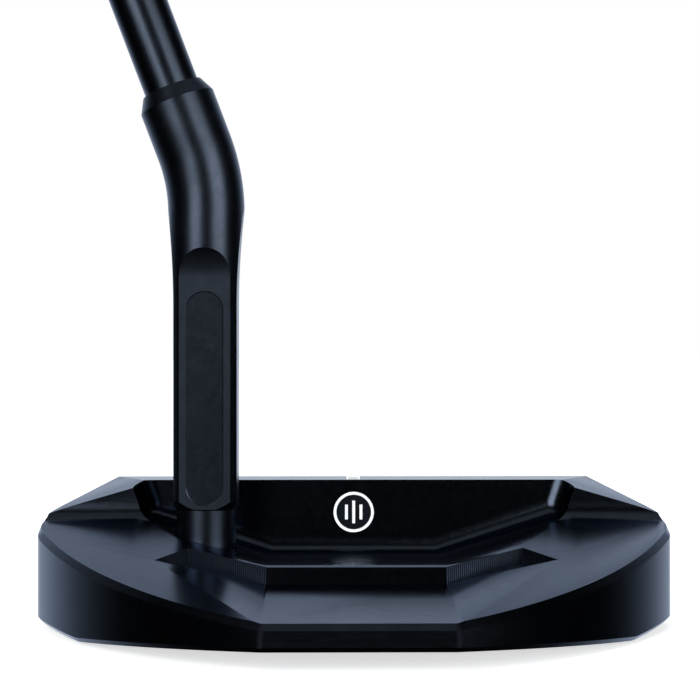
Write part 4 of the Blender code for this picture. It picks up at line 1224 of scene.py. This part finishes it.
def make_grip_cap(surface):
    """The butt cap: rounded rim, a shallow dish and the vent hole."""
    start = GRIP_END + GAP
    top = start + CAP_THICKNESS
    dish = top - CAP_DISH_DEPTH
    steps = (
        (start, 1.0),
        (top - 1.2, 1.0),
        (top - 0.5, 0.97),
        (top - 0.1, 0.92),
        (top, 0.84),
        (top, 0.62),
        (dish, 0.58),
        (dish, 0.3),
    )
    offsets = grip_section(GRIP_END, ROUND_SIDES)
    outer = [[shaft_point(place) + offset * share for offset in offsets] for place, share in steps]
    inner = [shaft_ring(place, CAP_VENT_RADIUS) for place in (dish, start)]
    cap = loop_solid("grip_cap_fine", outer + inner, surface)
    settle(cap, 0.0)
    finish_piece(cap, "cap", "grip_cap")


# Marks and hidden pieces


def make_badge(white):
    """A disc that carries a plain raised ring round three sight bars."""
    front = TOPLINE_DEPTH - BADGE_RISE
    back = TOPLINE_DEPTH - BADGE_SINK
    outer = circle(BADGE_RADIUS, ROUND_SIDES, (0.0, BADGE_HEIGHT))
    inner = circle(BADGE_RADIUS - BADGE_LINE, ROUND_SIDES, (0.0, BADGE_HEIGHT))
    field = black_metal("badge_field", 0.3).material
    badge = ring_solid("badge_fine", depth_rings(outer, (back, front)), white)
    hollow = depth_rings(inner, (back + BADGE_PLATE, BADGE_CUT_END))
    cut(badge, ring_solid("badge_hollow", hollow, field))
    bars = []
    half = BADGE_LINE / 2
    for number, length in enumerate(BADGE_BAR_LENGTHS):
        x = (number - 1) * BADGE_BAR_PITCH
        low = BADGE_HEIGHT - length / 2
        high = BADGE_HEIGHT + length / 2
        corners = [(x - half, low), (x + half, low), (x + half, high), (x - half, high)]
        bars.append(depth_rings(corners, (back + BADGE_BAR_FOOT, front)))
    cut_together(badge, "badge_bars", bars, white, "UNION")
    settle(badge, 0.04)
    finish_piece(badge, "fill", "badge_fill")


def dress(node, surface):
    """Gives a CAD node that stays its finish."""
    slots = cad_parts[node].data.materials
    slots.clear()
    slots.append(surface)


def dress_kept_nodes(fastener, white):
    nylon = moulded("washer_nylon", NYLON, 0.5, 4.0, 0.01)
    plug = moulded("plug_plastic", PLUG_PLASTIC, 0.65, 3.0, 0.02)
    paper = moulded("tape_paper", TAPE_PAPER, 0.8, 6.0, 0.03)
    foam = moulded("core_foam", CORE_FOAM, 0.85, 2.5, 0.08)
    dress("weight_washer_heel", nylon)
    dress("weight_washer_toe", nylon)
    dress("shaft_tip_plug", plug)
    dress("grip_tape", paper)
    dress("grip_core", foam)
    dress("neck_screw", fastener)
    dress("neck_dowel", fastener)
    dress("alignment_fill", white)


# Stage


def world_light():
    """Soft studio light in a dark room: two softboxes in front, a wide sheet behind, a weak one
    overhead and a faint glow from below in front. Only the camera sees the background as white.
    """
    world = bpy.data.worlds.new("studio")
    bpy.context.scene.world = world
    sky = NodeTree(world)
    sky.nodes.clear()

    def value_of(operation, *values):
        return sky.add("ShaderNodeMath", 0, dict(enumerate(values)), operation=operation)

    def rise(value, low, high):
        values = {"Value": value, "From Min": math.radians(low), "From Max": math.radians(high)}
        return sky.add("ShaderNodeMapRange", "Result", values, interpolation_type="SMOOTHSTEP")

    def window(value, low, soft_low, high, soft_high):
        """1 between two angles in degrees, 0 outside, with soft edges."""
        inside = rise(value, low - soft_low, low + soft_low)
        outside = rise(value, high - soft_high, high + soft_high)
        return value_of("MULTIPLY", inside, value_of("SUBTRACT", 1.0, outside))

    def glow(turn, middle, half_turn, soft_turn, low, soft_low, high, soft_high, strength):
        across = window(turn, middle - half_turn, soft_turn, middle + half_turn, soft_turn)
        upright = window(height, low, soft_low, high, soft_high)
        return value_of("MULTIPLY", value_of("MULTIPLY", across, upright), strength)

    direction = sky.add("ShaderNodeTexCoord", "Generated", {})
    x, y, z = sky.add("ShaderNodeSeparateXYZ", 0, {"Vector": direction}).node.outputs
    front_turn = value_of("ARCTAN2", x, value_of("MULTIPLY", y, -1.0))
    back_turn = value_of("ARCTAN2", x, y)
    height = value_of("ARCSINE", z)
    glows = (
        (front_turn, RIGHT_BOX),
        (front_turn, LEFT_BOX),
        (back_turn, BACK_SHEET),
        (back_turn, TOP_SHEET),
        (front_turn, FRONT_GLOW),
    )
    total = 0.0
    for turn, box in glows:
        total = value_of("ADD", total, glow(turn, *box))
    total = value_of("ADD", total, ROOM_GLOW)

    light = sky.add("ShaderNodeBackground", 0, {"Color": STUDIO_TINT, "Strength": total})
    white = sky.add("ShaderNodeBackground", 0, {"Color": WHITE})
    seen = sky.add("ShaderNodeLightPath", "Is Camera Ray", {})
    mix = sky.add("ShaderNodeMixShader", 0, {0: seen, 1: light, 2: white})
    sky.fill(sky.nodes.new("ShaderNodeOutputWorld"), {"Surface": mix})


def make_floor():
    """A pale floor that only the camera sees, so it doesn't light the black head from below."""
    bm = bmesh.new()
    bmesh.ops.create_circle(bm, cap_ends=True, radius=FLOOR_RADIUS, segments=64)
    mesh = bpy.data.meshes.new("floor")
    bm.to_mesh(mesh)
    bm.free()
    floor = bpy.data.objects.new("floor", mesh)
    bpy.context.scene.collection.objects.link(floor)
    floor.location.z = cad_low.z - FLOOR_GAP
    finish = Finish("floor_paper", (0.9, 0.9, 0.9), 0.9)
    finish.set("Emission Color", WHITE)
    finish.set("Emission Strength", FLOOR_GLOW)
    finish.set("Specular IOR Level", 0.0)
    mesh.materials.append(finish.material)
    floor.visible_glossy = False
    floor.visible_diffuse = False
    floor.visible_shadow = False


def make_camera():
    """A long lens behind the head, level with the neck."""
    data = bpy.data.cameras.new("camera")
    data.lens = CAMERA_LENS
    data.sensor_width = CAMERA_SENSOR
    data.clip_start = CAMERA_NEAR
    camera = bpy.data.objects.new("camera", data)
    camera.location = CAMERA_PLACE
    camera.rotation_euler = (math.pi / 2, 0.0, -CAMERA_TURN)
    bpy.context.scene.collection.objects.link(camera)
    bpy.context.scene.camera = camera


def main():
    bpy.context.scene.view_settings.view_transform = "Standard"
    make_camera()
    world_light()
    make_floor()
    white = moulded("white_fill", MARK_WHITE, 0.5, 5.0, 0.004)
    fastener = fastener_black()
    cap_rubber = moulded("cap_rubber", CAP_RUBBER, 0.55, 4.0, 0.015)
    make_head()
    make_sole_plate()
    make_plate_screws(fastener)
    make_weights()
    make_neck()
    make_shaft()
    make_grip()
    make_grip_cap(cap_rubber)
    make_badge(white)
    dress_kept_nodes(fastener, white)


main()
